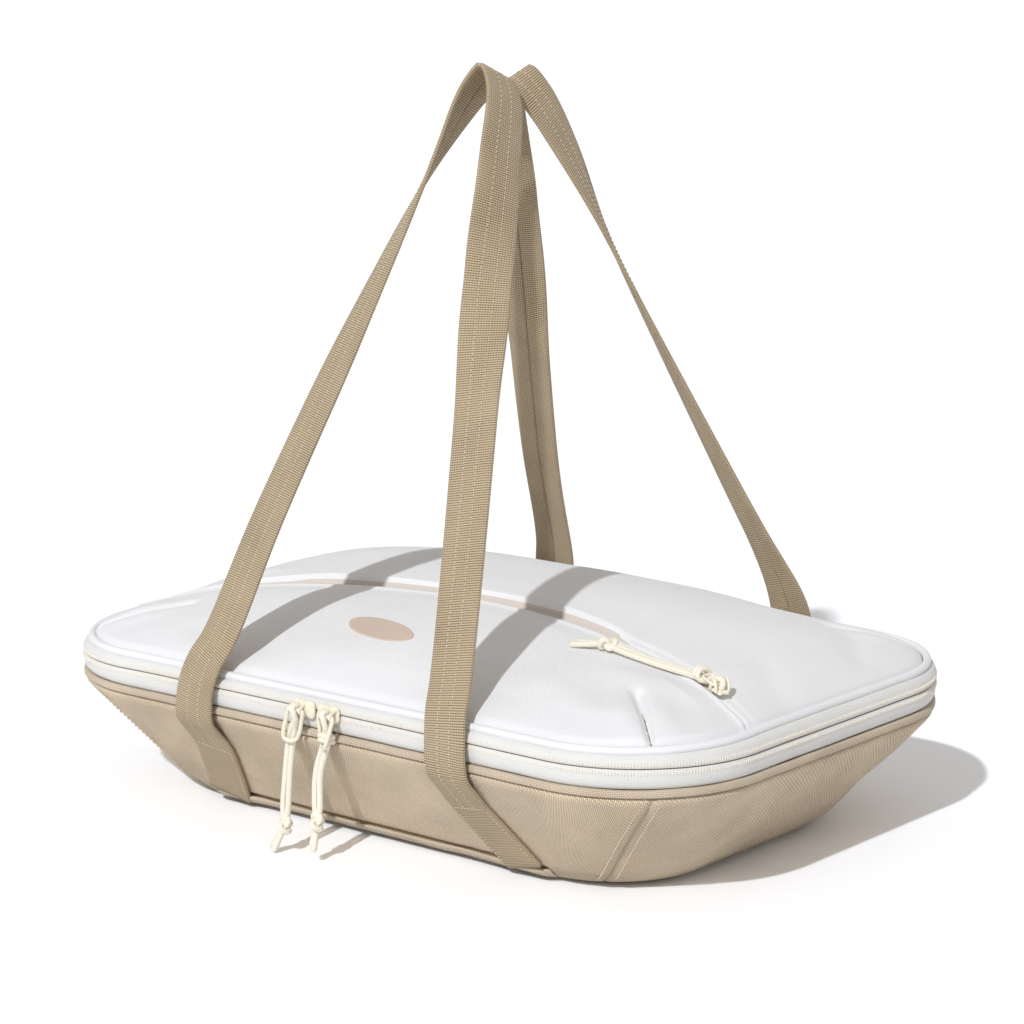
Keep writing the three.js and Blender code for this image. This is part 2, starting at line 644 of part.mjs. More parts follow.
const behindBail = -(2 * WIRE_RADIUS + CORD_RADIUS + CLEAR);
const barY = -(RIM_HALF_Y + CLEAR + BAR_STANDOFF);
[
  ['left', -1, 67, 10],
  ['right', 1, 61, 8],
].forEach(([name, s, drop, drift]) => {
  const frame = [vec(-1, 0, 0), vec(0, 0, -1), vec(0, -1, 0), vec(s * SLIDER_X, barY, ZIP_Z)];
  const slider = geometryOf(sliderBody(SLIDER_LENGTH, SLIDER_WIDTH, [6, 0.6], 6));
  addMesh(`${name}_slider`, placeAt(slider, ...frame), CREAM);
  addMesh(`${name}_pull_bail`, placeAt(bailLoop(), ...frame), CREAM);
  const knot = vec(drift, drop, -2);
  const way = [
    vec(drift * 0.1, 11, behindBail * 0.7),
    vec(drift * 0.25, BAIL_LENGTH, behindBail),
    vec(drift * 0.5, drop * 0.55, behindBail),
    vec(drift, drop - 3, -2),
  ];
  const cord = pullCord(way, knot, vec(drift + 5, drop + 13, 0), vec(drift - 1, drop + 14, 1.5));
  addMesh(`${name}_pull_cord`, placeAt(cord, ...frame), CREAM);
});

const pocket = arcAxes(POCKET_SLIDER_ANGLE);
const pocketBar = pocket.point.clone().addScaledVector(pocket.out, CLEAR + BAR_STANDOFF);
const pocketFrame = [pocket.across, pocket.along.clone().negate(), pocket.out, pocketBar];
const pocketSlider = geometryOf(sliderBody(SLIDER_WIDTH, SLIDER_LENGTH, [0.6, 6], TAPE + CLEAR * 2 + 0.8));
addMesh('pocket_slider', placeAt(pocketSlider, ...pocketFrame), CREAM);
addMesh('pocket_pull_bail', placeAt(bailLoop(), ...pocketFrame), CREAM);
const pocketAxes = pocketFrame.slice(0, 3);
const inPocketFrame = new THREE.Matrix4().makeBasis(...pocketAxes).setPosition(pocketBar).invert();
const onLid = (x, y, lift) => vec(x, y, domeZ(x, y) + lift).applyMatrix4(inPocketFrame);
const pocketWay = [
  vec(0, 11, behindBail * 0.7),
  vec(-0.5, BAIL_LENGTH, behindBail),
  onLid(POCKET_SLIDER_X - 45.5, -53, 3.4),
  onLid(POCKET_SLIDER_X - 76.5, -52, 4.6),
];
const pocketKnot = onLid(POCKET_SLIDER_X - 79.5, -52, 5.2);
const pocketTails = [onLid(POCKET_SLIDER_X - 96.5, -49, 3.6), onLid(POCKET_SLIDER_X - 98.5, -58, 3.6)];
const pocketCord = pullCord(pocketWay, pocketKnot, ...pocketTails);
addMesh('pocket_pull_cord', placeAt(pocketCord, ...pocketFrame), CREAM);

export default group;
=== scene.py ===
# %% [markdown]
# A casserole carrier, dressed in Blender. The real carrier is sewn: a tan canvas tub, a padded
# off-white lid, a zip round the rim and two webbing handles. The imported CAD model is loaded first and
# stays fixed. Each soft solid is then replaced by cloth that looks sewn. Shapes are worked out in
# millimetres and turned into metres when a mesh is made. The noise that makes cloth uneven has a fixed
# seed, so each run gives the same shapes.

# %% Load the fixed frame
import math
import bpy
import numpy as np
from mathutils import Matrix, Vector, noise


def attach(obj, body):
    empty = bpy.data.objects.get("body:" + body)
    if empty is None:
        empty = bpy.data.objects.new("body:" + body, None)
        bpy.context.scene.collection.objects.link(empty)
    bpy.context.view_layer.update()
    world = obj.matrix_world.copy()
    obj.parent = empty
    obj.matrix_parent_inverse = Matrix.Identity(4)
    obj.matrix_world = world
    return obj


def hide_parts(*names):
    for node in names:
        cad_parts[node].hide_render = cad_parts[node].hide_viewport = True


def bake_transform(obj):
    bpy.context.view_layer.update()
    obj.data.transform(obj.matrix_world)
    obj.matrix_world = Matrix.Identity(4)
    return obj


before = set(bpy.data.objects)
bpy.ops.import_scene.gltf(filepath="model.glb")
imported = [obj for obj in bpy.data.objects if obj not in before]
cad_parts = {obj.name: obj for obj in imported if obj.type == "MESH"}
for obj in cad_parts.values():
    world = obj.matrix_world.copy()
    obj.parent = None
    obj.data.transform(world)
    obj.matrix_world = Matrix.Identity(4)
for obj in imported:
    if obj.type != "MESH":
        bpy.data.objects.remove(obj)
bpy.ops.object.select_all(action="DESELECT")
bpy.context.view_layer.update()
MM = 0.001
NOISE_SEED = 1
noise.seed_set(NOISE_SEED)

# %% [markdown]
# The camera stands to the right of the front and a little above the lid, a long lens far away. A long
# lens keeps the rim's two long sides almost parallel, as a product picture does.

# %% Camera
CAMERA_PLACE = Vector((1.1024, -1.3361, 0.5148))
CAMERA_TARGET = Vector((0.00274, 0.00656, 0.16757))
LENS = 109.2
SENSOR_WIDTH = 36
FARTHEST_SEEN = 200
bpy.ops.object.camera_add(location=CAMERA_PLACE)
camera = bpy.context.object
camera.name = "camera"
camera.rotation_euler = (CAMERA_TARGET - CAMERA_PLACE).to_track_quat("-Z", "Y").to_euler()
camera.data.lens = LENS
camera.data.sensor_width = SENSOR_WIDTH
camera.data.clip_end = FARTHEST_SEEN
bpy.context.scene.camera = camera
print("camera distance:", (CAMERA_TARGET - CAMERA_PLACE).length)

# %% [markdown]
# The sky and every material are made of shader nodes. These helpers add a node, set its inputs, do a
# sum with it and blend two colours.

# %% Helpers for nodes
def add_node(tree, kind, **values):
    """A node with its plain properties set."""
    node = tree.nodes.new(kind)
    for key, value in values.items():
        setattr(node, key, value)
    return node


def set_inputs(node, values):
    """Sets a node's inputs by their labels."""
    for label, value in values.items():
        node.inputs[label].default_value = value
    return node


def maths(tree, operation, first, second=None):
    """A Math node fed by sockets or numbers; gives its output."""
    node = add_node(tree, "ShaderNodeMath", operation=operation)
    for socket, value in zip(node.inputs, (first, second)):
        if isinstance(value, (int, float)):
            socket.default_value = value
        elif value is not None:
            tree.links.new(value, socket)
    return node.outputs[0]


def colour_ramp(tree, shade, low, high, full=1.0):
    """A blend from one colour to another that is complete where the shade is full; gives its colour."""
    ramp = add_node(tree, "ShaderNodeValToRGB")
    ramp.color_ramp.elements[0].color = low
    ramp.color_ramp.elements[1].color = high
    ramp.color_ramp.elements[1].position = full
    tree.links.new(shade, ramp.inputs[0])
    return ramp.outputs[0]


print("node helpers ready")

# %% [markdown]
# One sun from the front and an even sky light the carrier. The sun's disc is small, so its shadows have
# clear edges. The floor is a pale plane that only catches the shadow. The world is white where it is
# seen, in mirrors too.

# %% Light and floor
SUN_ENERGY = 2.32
SUN_COLOUR = (0.965, 0.99, 1.02)
SUN_DISC = math.radians(1.6)
SUN_WAY = Vector((-0.187, 0.749, -0.636))
SKY_GLOW = (0.475, 0.46, 0.44, 1)
WHITE = (1, 1, 1, 1)
FLOOR_SIZE = 120
bpy.ops.object.light_add(type="SUN", location=(0, -2, 2))
sun = bpy.context.object
sun.name = "sun"
sun.data.energy = SUN_ENERGY
sun.data.color = SUN_COLOUR
sun.data.angle = SUN_DISC
sun.rotation_euler = SUN_WAY.to_track_quat("-Z", "Y").to_euler()
world = bpy.data.worlds.new("studio")
bpy.context.scene.world = world
world.use_nodes = True
sky = world.node_tree
rays = add_node(sky, "ShaderNodeLightPath").outputs
mirrored = maths(sky, "MAXIMUM", rays["Is Camera Ray"], rays["Is Glossy Ray"])
seen = maths(sky, "MAXIMUM", mirrored, rays["Is Transmission Ray"])
sky.links.new(colour_ramp(sky, seen, SKY_GLOW, WHITE), sky.nodes["Background"].inputs["Color"])
bpy.context.scene.view_settings.view_transform = "Standard"
bpy.ops.mesh.primitive_plane_add(size=FLOOR_SIZE, location=(0, 0, 0))
floor = bpy.context.object
floor.name = "floor"
print("sun energy:", sun.data.energy)

# %% [markdown]
# Every finish starts from the same few steps: a shader, a blend from a dark to a light colour, and a
# bump. Colours are written as seen on a screen, each part from 0 to 255, and turned into the linear
# values a shader wants.

# %% Helpers for materials
finishes = {}


def seen_colour(red, green, blue):
    """The linear colour of a colour as seen on a screen, each part from 0 to 255."""
    parts = [c / 255 for c in (red, green, blue)]
    linear = [c / 12.92 if c <= 0.04045 else ((c + 0.055) / 1.055) ** 2.4 for c in parts]
    return (*linear, 1)


def new_finish(name, values):
    """The node tree of a new material, and its Principled shader."""
    finish = bpy.data.materials.new(name)
    finish.use_nodes = True
    finishes[name] = finish
    return finish.node_tree, set_inputs(finish.node_tree.nodes["Principled BSDF"], values)


def dress(tree, shader, shade, colours, height, bump):
    """Colours a shader by a shade and raises a height as bump."""
    light, dark, full = colours
    strength, depth = bump
    colour = colour_ramp(tree, shade, seen_colour(*dark), seen_colour(*light), full)
    tree.links.new(colour, shader.inputs["Base Color"])
    relief = set_inputs(add_node(tree, "ShaderNodeBump"), {"Strength": strength, "Distance": depth})
    tree.links.new(height, relief.inputs["Height"])
    tree.links.new(relief.outputs[0], shader.inputs["Normal"])


def new_group(name, inputs, output):
    """An empty node group with number sockets, and its two end nodes."""
    group = bpy.data.node_groups.new(name, "ShaderNodeTree")
    for label in inputs:
        group.interface.new_socket(label, in_out="INPUT", socket_type="NodeSocketFloat")
    group.interface.new_socket(output, in_out="OUTPUT", socket_type="NodeSocketFloat")
    return group, group.nodes.new("NodeGroupInput"), group.nodes.new("NodeGroupOutput")


def use_group(tree, group, values):
    """A group placed in a tree with its inputs set; gives its output."""
    return set_inputs(add_node(tree, "ShaderNodeGroup", node_tree=group), values).outputs[0]


print("material helpers ready")

# %% [markdown]
# Woven cloth is rows of threads that pass over and under each other. The weave group reads the piece's
# own UV map, which is in metres, so its threads follow the cloth wherever it bends. Two numbers give
# the thread spacing, and a third how many threads a crossing steps over, so twill is possible too.

# %% Weave group
WEFT_HEIGHT = 0.55


def uv_parts(tree):
    """The two parts of a place on the piece's UV map."""
    where = add_node(tree, "ShaderNodeTexCoord")
    parts = add_node(tree, "ShaderNodeSeparateXYZ")
    tree.links.new(where.outputs["UV"], parts.inputs[0])
    return parts.outputs[0], parts.outputs[1]


def thread_profile(tree, position):
    """A rounded thread: 0 at its edges and 1 along its middle."""
    part = maths(tree, "FRACT", position)
    signed = maths(tree, "SUBTRACT", maths(tree, "MULTIPLY", part, 2.0), 1.0)
    return maths(tree, "SUBTRACT", 1.0, maths(tree, "MULTIPLY", signed, signed))


def build_weave_group():
    group, start, end = new_group("weave", ("Threads Along", "Threads Across", "Step"), "Height")
    u, v = uv_parts(group)
    along = maths(group, "MULTIPLY", u, start.outputs["Threads Along"])
    across = maths(group, "MULTIPLY", v, start.outputs["Threads Across"])
    total = maths(group, "ADD", maths(group, "FLOOR", along), maths(group, "FLOOR", across))
    turn = maths(group, "FLOORED_MODULO", total, start.outputs["Step"])
    over = maths(group, "GREATER_THAN", turn, 0.5)
    under = maths(group, "SUBTRACT", 1.0, over)
    warp = maths(group, "MULTIPLY", thread_profile(group, along), over)
    weft = maths(group, "MULTIPLY", thread_profile(group, across), under)
    sunk = maths(group, "MULTIPLY", weft, WEFT_HEIGHT)
    group.links.new(maths(group, "ADD", warp, sunk), end.inputs["Height"])
    return group


weave_group = build_weave_group()
print("weave group nodes:", len(weave_group.nodes))

# %% [markdown]
# Real cloth is never one even colour. A second group gives slow, cloudy changes over the piece.

# %% Cloud group
def build_cloud_group():
    group, start, end = new_group("clouds", ("Size", "Spread"), "Value")
    where = add_node(group, "ShaderNodeTexCoord")
    clouds = set_inputs(add_node(group, "ShaderNodeTexNoise"), {"Detail": 4})
    group.links.new(where.outputs["Object"], clouds.inputs["Vector"])
    group.links.new(start.outputs["Size"], clouds.inputs["Scale"])
    centred = maths(group, "SUBTRACT", clouds.outputs["Fac"], 0.5)
    group.links.new(maths(group, "MULTIPLY", centred, start.outputs["Spread"]), end.inputs["Value"])
    return group


cloud_group = build_cloud_group()
print("cloud group nodes:", len(cloud_group.nodes))

# %% [markdown]
# A woven finish joins both groups: gaps between threads are darker, and the threads stand up a little
# as bump. The darkening is painted shade: the weave's height also sets the colour, darker at the edges
# of each rounded thread and in the gaps, over cloudy changes of tone. Each cloth has a light and a dark
# colour, its threads in a metre both ways, the step of its weave and its bump.

# %% Woven finishes
# each dark colour below is the painted shade at thread edges and in the gaps between threads
WOVEN = {
    "tan_canvas": ((245, 224, 193), (90, 68, 40), (1250, 1250), 3, 1.0),
    "binding_cloth": ((226, 209, 186), (122, 102, 76), (1100, 1100), 2, 0.7),
    "lid_canvas": ((240, 240, 242), (222, 222, 225), (1300, 1300), 2, 0.35),
    "zip_tape_cloth": ((235, 234, 231), (206, 204, 200), (1000, 1500), 2, 0.4),
    "piping_cloth": ((240, 240, 242), (222, 222, 225), (1100, 1100), 2, 0.3),
    "label_cloth": ((212, 194, 178), (196, 176, 158), (1500, 1500), 2, 0.3),
    # the tape's pinkish tint, darkened as painted shade under the rolled edge
    "strip_cloth_painted_shade": ((218, 209, 202), (200, 189, 180), (1200, 1500), 2, 0.3),
}


def woven_finish(name, light, dark, threads, step, bump):
    tree, shader = new_finish(name, {"Roughness": 0.9, "Sheen Weight": 0.15})
    along, across = threads
    weave = use_group(tree, weave_group, {"Threads Along": along, "Threads Across": across, "Step": step})
    clouds = use_group(tree, cloud_group, {"Size": 28, "Spread": 0.5})
    # painted shade: the weave's height darkens the colour at thread edges and in the gaps
    dress(tree, shader, maths(tree, "ADD", weave, clouds), (light, dark, 0.7), weave, (bump, 0.0004))


for finish_name, values in WOVEN.items():
    woven_finish(finish_name, *values)
print("woven finishes:", len(WOVEN))

# %% [markdown]
# Webbing is woven in rows of short ribs across its width, so it looks like a fine grid. The group makes
# one rounded bump per rib, and may shift every second column by half a rib, as a braid does. The same
# bump darkens the colour towards each rib's edges, a painted shade between the ribs.

# %% Ribbed finishes
RIBBED = {
    "webbing_cloth": ((200, 180, 148), (94, 74, 47), (660, 760, 0.0), 0.8, 0.75),
    "cord_braid": ((248, 243, 229), (230, 220, 198), (800, 650, 0.5), 0.5, 0.7),
}


def build_rib_group():
    group, start, end = new_group("ribs", ("Columns", "Ribs", "Stagger"), "Height")
    u, v = uv_parts(group)
    column = maths(group, "MULTIPLY", u, start.outputs["Columns"])
    odd = maths(group, "FLOORED_MODULO", maths(group, "FLOOR", column), 2.0)
    shift = maths(group, "MULTIPLY", odd, start.outputs["Stagger"])
    rib = maths(group, "ADD", maths(group, "MULTIPLY", v, start.outputs["Ribs"]), shift)
    round_column = maths(group, "MULTIPLY", thread_profile(group, column), 0.5)
    bump = maths(group, "MULTIPLY", maths(group, "ADD", round_column, 0.5), thread_profile(group, rib))
    group.links.new(bump, end.inputs["Height"])
    return group


rib_group = build_rib_group()


def ribbed_finish(name, light, dark, spacing, bump, roughness):
    tree, shader = new_finish(name, {"Roughness": roughness, "Sheen Weight": 0.1})
    rib = use_group(tree, rib_group, dict(zip(("Columns", "Ribs", "Stagger"), spacing)))
    clouds = use_group(tree, cloud_group, {"Size": 40, "Spread": 0.4})
    # painted shade: the ribs' height darkens the colour between the ribs
    dress(tree, shader, maths(tree, "ADD", rib, clouds), (light, dark, 0.8), rib, (bump, 0.0006))


for finish_name, values in RIBBED.items():
    ribbed_finish(finish_name, *values)
print("ribbed finishes:", len(RIBBED))

# %% [markdown]
# The sliders and wire bails are painted metal, smooth with a soft shine. Thread, zip teeth, lining and
# the floor's paint finish the list, with a dark finish that paints the shade in the zip's slot and in
# the darts' creases. The camera sees the floor a little brighter than the light that it throws back.

# %% Smooth finishes
MOTTLED = {
    "painted_metal": ((244, 238, 220), (228, 218, 194), 300, 0.35, 0),
    "tan_thread": ((214, 200, 176), (190, 173, 146), 400, 0.6, 0),
    "pale_thread": ((230, 215, 190), (212, 196, 168), 400, 0.6, 0),
    "tooth_thread": ((240, 233, 219), (222, 212, 193), 400, 0.6, 0),
    # painted shade: dark cloth for the zip's slot and the darts' creases, where only shade shows
    "painted_gap_shade": ((150, 128, 104), (112, 94, 74), 400, 0.6, 0),
    "lining_foil": ((206, 208, 211), (184, 187, 192), 60, 0.4, 0.25),
    "floor_paint": ((247, 249, 254), (245, 247, 252), 2, 0.9, 0),
}
FLOOR_LIFT = 0.22


def mottled_finish(name, light, dark, size, roughness, metallic):
    tree, shader = new_finish(name, {"Roughness": roughness, "Metallic": metallic})
    clouds = use_group(tree, cloud_group, {"Size": size, "Spread": 1.4})
    dress(tree, shader, maths(tree, "ADD", clouds, 0.5), (light, dark, 1.0), clouds, (0.15, 0.0003))


for finish_name, values in MOTTLED.items():
    mottled_finish(finish_name, *values)
floor.data.materials.append(finishes["floor_paint"])
floor_tree = finishes["floor_paint"].node_tree
floor_seen = add_node(floor_tree, "ShaderNodeLightPath").outputs["Is Camera Ray"]
floor_gain = maths(floor_tree, "ADD", maths(floor_tree, "MULTIPLY", floor_seen, FLOOR_LIFT), 1.0)
floor_white = add_node(floor_tree, "ShaderNodeVectorMath", operation="SCALE")
floor_tree.links.new(floor_tree.nodes["Color Ramp"].outputs[0], floor_white.inputs[0])
floor_tree.links.new(floor_gain, floor_white.inputs["Scale"])
floor_tree.links.new(floor_white.outputs[0], floor_tree.nodes["Principled BSDF"].inputs["Base Color"])
print("smooth finishes:", len(MOTTLED))

# %% [markdown]
# Most pieces here are cloth that follows a curved line or surface. Modelled by hand they would start
# from a grid, with its points pulled into place and its edges welded. These helpers do that from rows
# of points, and give each piece a UV map in metres so that its weave has the right scale.

# %% Helpers for cloth pieces
WELD_DISTANCE = 0.00001


def only(obj):
    """Selects this object alone and makes it active."""
    bpy.ops.object.select_all(action="DESELECT")
    obj.select_set(True)
    bpy.context.view_layer.objects.active = obj


def on_whole_mesh(tool, **choices):
    """Uses a mesh tool on all of the active object."""
    bpy.ops.object.mode_set(mode="EDIT")
    bpy.ops.mesh.select_all(action="SELECT")
    tool(**choices)
    bpy.ops.object.mode_set(mode="OBJECT")


def steps_along(points, axis):
    """Mean distance from one row (or column) of points to the next, summed from the start."""
    gaps = np.linalg.norm(np.diff(points, axis=axis), axis=2).mean(axis=1 - axis)
    return np.concatenate([[0], np.cumsum(gaps)])


def cloth_grid(name, rows, finish, wrap=False, loop=False, outside=None):
    """A grid primitive pulled onto rows of points. wrap welds its sides, loop welds its ends."""
    rows = np.asarray(rows, float)
    if wrap:
        rows = np.concatenate([rows, rows[:, :1]], axis=1)
    if loop:
        rows = np.concatenate([rows, rows[:1]], axis=0)
    high, wide = rows.shape[:2]
    bpy.ops.object.select_all(action="DESELECT")
    bpy.ops.mesh.primitive_grid_add(x_subdivisions=wide - 1, y_subdivisions=high - 1, size=1)
    obj = bpy.context.object
    obj.name = name
    mesh = obj.data
    mesh.name = name
    mesh.vertices.foreach_set("co", (rows * MM).astype(np.float32).ravel())
    u, v = np.meshgrid(steps_along(rows, 1) * MM, steps_along(rows, 0) * MM)
    corner = np.zeros(len(mesh.loops), int)
    mesh.loops.foreach_get("vertex_index", corner)
    flat = np.stack([u.ravel()[corner], v.ravel()[corner]], axis=1)
    mesh.uv_layers[0].data.foreach_set("uv", flat.astype(np.float32).ravel())
    mesh.update()
    on_whole_mesh(bpy.ops.mesh.remove_doubles, threshold=WELD_DISTANCE)
    if wrap:
        on_whole_mesh(bpy.ops.mesh.normals_make_consistent, inside=False)
    if outside is not None:
        face_outwards(obj, outside)
    bpy.ops.object.shade_smooth()
    mesh.materials.append(finishes[finish])
    return obj


def face_outwards(obj, outside):
    """Turns an open cloth over where most of it faces away from the outside direction."""
    towards = sum(f.normal.dot(outside(f.center)) * f.area for f in obj.data.polygons)
    if towards < 0:
        only(obj)
        on_whole_mesh(bpy.ops.mesh.flip_normals)


def thicken(obj, thickness):
    """Gives cloth its thickness, inwards from the face that shows."""
    only(obj)
    wall = obj.modifiers.new("thickness", "SOLIDIFY")
    wall.thickness = thickness * MM
    wall.offset = -1
    bpy.ops.object.modifier_apply(modifier=wall.name)


def stand_for(obj, body, slot, *nodes):
    """The piece rides on a body and stands for CAD nodes. Its slot is not used."""
    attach(obj, body)
    if nodes:
        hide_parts(*nodes)
    return obj


def away_from_middle(centre):
    """Outwards from the upright line through the carrier's middle."""
    return Vector((centre.x, centre.y, 0)).normalized()


def upwards(_):
    return Vector((0, 0, 1))


def downwards(_):
    return Vector((0, 0, -1))


print("cloth helpers ready")

# %% [markdown]
# Tubes and straps follow a line. The line is a smooth curve through a few points, as a curve tool would
# draw it, and a small outline is carried along it. Poles close the ends.

# %% Helpers for lines
CURVE_STEPS = 24
POLE_REACH = 0.7
CAP_SHARE = 0.7
CAP_REACH = 0.5


def unit(vector):
    return vector / np.linalg.norm(vector)


def hump(distance, width):
    """A soft bump: 1 where the distance is 0, gone a few widths away."""
    return np.exp(-((distance / width) ** 2))


def full_turn(count):
    """Angles round a circle."""
    return np.linspace(0, 2 * np.pi, count, endpoint=False)


def line_length(line):
    return np.linalg.norm(np.diff(line, axis=0), axis=1).sum()


def smooth_line(points, step):
    """Points an even step apart on a smooth curve through the given ones."""
    p = np.asarray(points, float)
    p = np.vstack([2 * p[0] - p[1], p, 2 * p[-1] - p[-2]])
    fine = []
    for p0, p1, p2, p3 in zip(p, p[1:], p[2:], p[3:]):
        t1 = np.linalg.norm(p1 - p0) ** 0.5
        t2 = t1 + np.linalg.norm(p2 - p1) ** 0.5
        t3 = t2 + np.linalg.norm(p3 - p2) ** 0.5
        t = np.linspace(t1, t2, CURVE_STEPS, endpoint=False)[:, None]
        a1 = (p0 * (t1 - t) + p1 * t) / t1
        a2 = (p1 * (t2 - t) + p2 * (t - t1)) / (t2 - t1)
        a3 = (p2 * (t3 - t) + p3 * (t - t2)) / (t3 - t2)
        b1 = (a1 * (t2 - t) + a2 * t) / t2
        b2 = (a2 * (t3 - t) + a3 * (t - t1)) / (t3 - t1)
        fine.append((b1 * (t2 - t) + b2 * (t - t1)) / (t2 - t1))
    line = np.vstack([*fine, p[-2:-1]])
    length = np.concatenate([[0], np.cumsum(np.linalg.norm(np.diff(line, axis=0), axis=1))])
    at = np.linspace(0, length[-1], max(2, round(length[-1] / step) + 1))
    return np.stack([np.interp(at, length, line[:, k]) for k in range(3)], axis=1)


def ways(line, loop=False):
    """The direction along the line at each of its points."""
    if loop:
        way = np.roll(line, -1, axis=0) - np.roll(line, 1, axis=0)
    else:
        way = np.gradient(line, axis=0)
    return way / np.linalg.norm(way, axis=1)[:, None]


def carried(line, way, across, outline):
    """The outline's (across, out) points carried along the line."""
    across = across - (across * way).sum(1)[:, None] * way
    across = across / np.linalg.norm(across, axis=1)[:, None]
    out = np.cross(across, way)
    outline = np.asarray(outline, float)
    return (
        line[:, None]
        + outline[None, :, 0, None] * across[:, None]
        + outline[None, :, 1, None] * out[:, None]
    )


def level_across(way):
    """A sideways direction that turns as little as possible along the line."""
    sides = [unit(np.cross(way[0], (0, 0, 1) if abs(way[0][2]) < 0.9 else (1, 0, 0)))]
    for w in way[1:]:
        sides.append(unit(sides[-1] - np.dot(sides[-1], w) * w))
    return np.array(sides)


def tube(name, line, radius, finish, sides=10, loop=False):
    """A round tube along a line, closed by a pole at each end unless the line is a loop."""
    way = ways(line, loop)
    turn = full_turn(sides)
    outline = np.stack([radius * np.cos(turn), radius * np.sin(turn)], axis=1)
    rows = carried(line, way, level_across(way), outline)
    if not loop:
        caps = []
        for i, sign in ((0, -1), (-1, 1)):
            pole = np.repeat((line[i] + sign * way[i] * radius * POLE_REACH)[None], sides, axis=0)
            ring = line[i] + (rows[i] - line[i]) * CAP_SHARE + sign * way[i] * radius * CAP_REACH
            caps.append([pole, ring])
        rows = np.concatenate([caps[0], rows, caps[1][::-1]])
    return cloth_grid(name, rows, finish, wrap=True, loop=loop)


print("line helpers ready")

# %% [markdown]
# The pull cords hang from the sliders' wire bails. Each is one soft braided cord, doubled over the
# bail's bar and knotted, with two loose tails. Each strand is modelled as a cord of its own, from the
# bar to the end of its tail, along the same points as the CAD route.

# %% Knots and strands
CORD_RADIUS = 1.7
BIGHT = 2.5
BIGHT_HALF = 0.6
BIGHT_DROP = 0.5
BIGHT_STEP = 0.8
STRAND_START = ((BIGHT_HALF, BIGHT_DROP, 1), (1.1, 4.6, 0.7))
STRAND_STEP = 1.5
STRAND_SPREAD = 1.65
KNOT_SIZE = np.array([4.5, 4.4, 4.0])
HITCH_SIZE = (3.9, 3.0)
HITCH_STEP = 2.5
HITCH_SLANT = 0.9


def pull_frame(bar, hang, out, point):
    """Turns (bar, hang, out) places on a pull into places in the frame."""
    axes = np.array([bar, hang, out], float)
    return lambda b, h, w: np.array(point) + np.array([b, h, w]) @ axes


def knot_line(place, way):
    """An overhand knot pulled tight: a three-leaf knot squeezed to a lump."""
    turn = full_turn(72)
    leaf = np.stack(
        [np.sin(turn) + 2 * np.sin(2 * turn), np.cos(turn) - 2 * np.cos(2 * turn), -np.sin(3 * turn) * 1.6],
        axis=1,
    )
    way = unit(np.asarray(way, float))
    side = unit(np.cross(way, (0.3, 0.2, 0.9)))
    axes = np.array([side, way, np.cross(side, way)])
    return np.asarray(place) + (leaf / 3 * KNOT_SIZE) @ axes


def ring_round(place, way):
    """A closed oval round a place, square to a direction: one turn of cord."""
    wide, deep = HITCH_SIZE
    way = unit(np.asarray(way, float))
    side = unit(np.cross(way, (0.1, 0.2, 0.97) if abs(way[2]) < 0.9 else (0, 1, 0)))
    turn = full_turn(28)[:, None]
    slant = HITCH_SLANT * np.sin(turn) * way
    return place + wide * np.cos(turn) * side + deep * np.sin(turn) * np.cross(side, way) + slant


def cord_piece(body, label, line, radius=CORD_RADIUS, loop=False):
    """A length of the pull's cord that rides with it."""
    piece = tube(f"{body}_{label}", line, radius, "cord_braid", loop=loop)
    return stand_for(piece, body, "cord")


def pull(name, place, route, knot, tails, knot_way, hitch=None):
    """Two strands, their knot and a hitch; route is (bar, hang, out) places of the strands' middle."""
    lump = cord_piece(name, "knot", knot_line(knot, knot_way), loop=True)
    for label, side, tail in (("a", -1, tails[0]), ("b", 1, tails[1])):
        start = [place(side * b, h, side * -BIGHT * w) for b, h, w in STRAND_START]
        middle = [place(b + side * STRAND_SPREAD, h, w) for b, h, w in route]
        line = smooth_line([*start, *middle, knot, (knot + tail) / 2, tail], STRAND_STEP)
        strand = cord_piece(name, f"strand_{label}", line)
    turn = np.linspace(0, np.pi, 9)[1:-1]
    bight = [place(BIGHT_HALF * np.cos(t), -BIGHT * np.sin(t), BIGHT * np.cos(t)) for t in turn]
    ends = (place(-BIGHT_HALF, BIGHT_DROP, BIGHT), place(BIGHT_HALF, BIGHT_DROP, -BIGHT))
    cord_piece(name, "bight", smooth_line([ends[0], *bight, ends[1]], BIGHT_STEP))
    if hitch is not None:
        b, h, w = hitch
        for label, shift in (("a", 0), ("b", HITCH_STEP)):
            band = ring_round(place(b, h + shift, w), place(b, h + 1, w) - place(b, h, w))
            cord_piece(name, f"hitch_{label}", band, CORD_RADIUS * 0.9, loop=True)
    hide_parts(f"{name}_cord")


print("pull helpers ready")

# %% [markdown]
# The two pulls of the rim's zip hang down the front. Each drifts to one side as it drops, more or less
# evenly, and its tails lean out below the knot.

# %% Rim pulls
BAR_Y = -160.15
ZIP_Z = 83.3
PULLS = {"left": (-10.9, 67, 11), "right": (10.9, 61, 9)}
TAIL_TILT = {"left": 8.5, "right": 2.6}
SIDE_SHARES = {"left": (0.35, 0.62, 0.86, 1), "right": (0.12, 0.45, 0.98, 1)}
HITCHES = {"left": None, "right": (1.6, 11.6, -2.2)}


def rim_place(bar_x):
    """Places on a pull that hangs from the rim's zip at x."""
    return pull_frame((-1, 0, 0), (0, 0, -1), (0, -1, 0), (bar_x, BAR_Y, ZIP_Z))


def hanging_route(drop, drift, shares):
    """Places down the strands: how much of the sideways drift each height has."""
    heights = ((11, -2.24), (19, -3.2), (drop * 0.55, -3.2), (drop - 7, -2.4))
    return [(drift * share, hang, out) for share, (hang, out) in zip(shares, heights)]


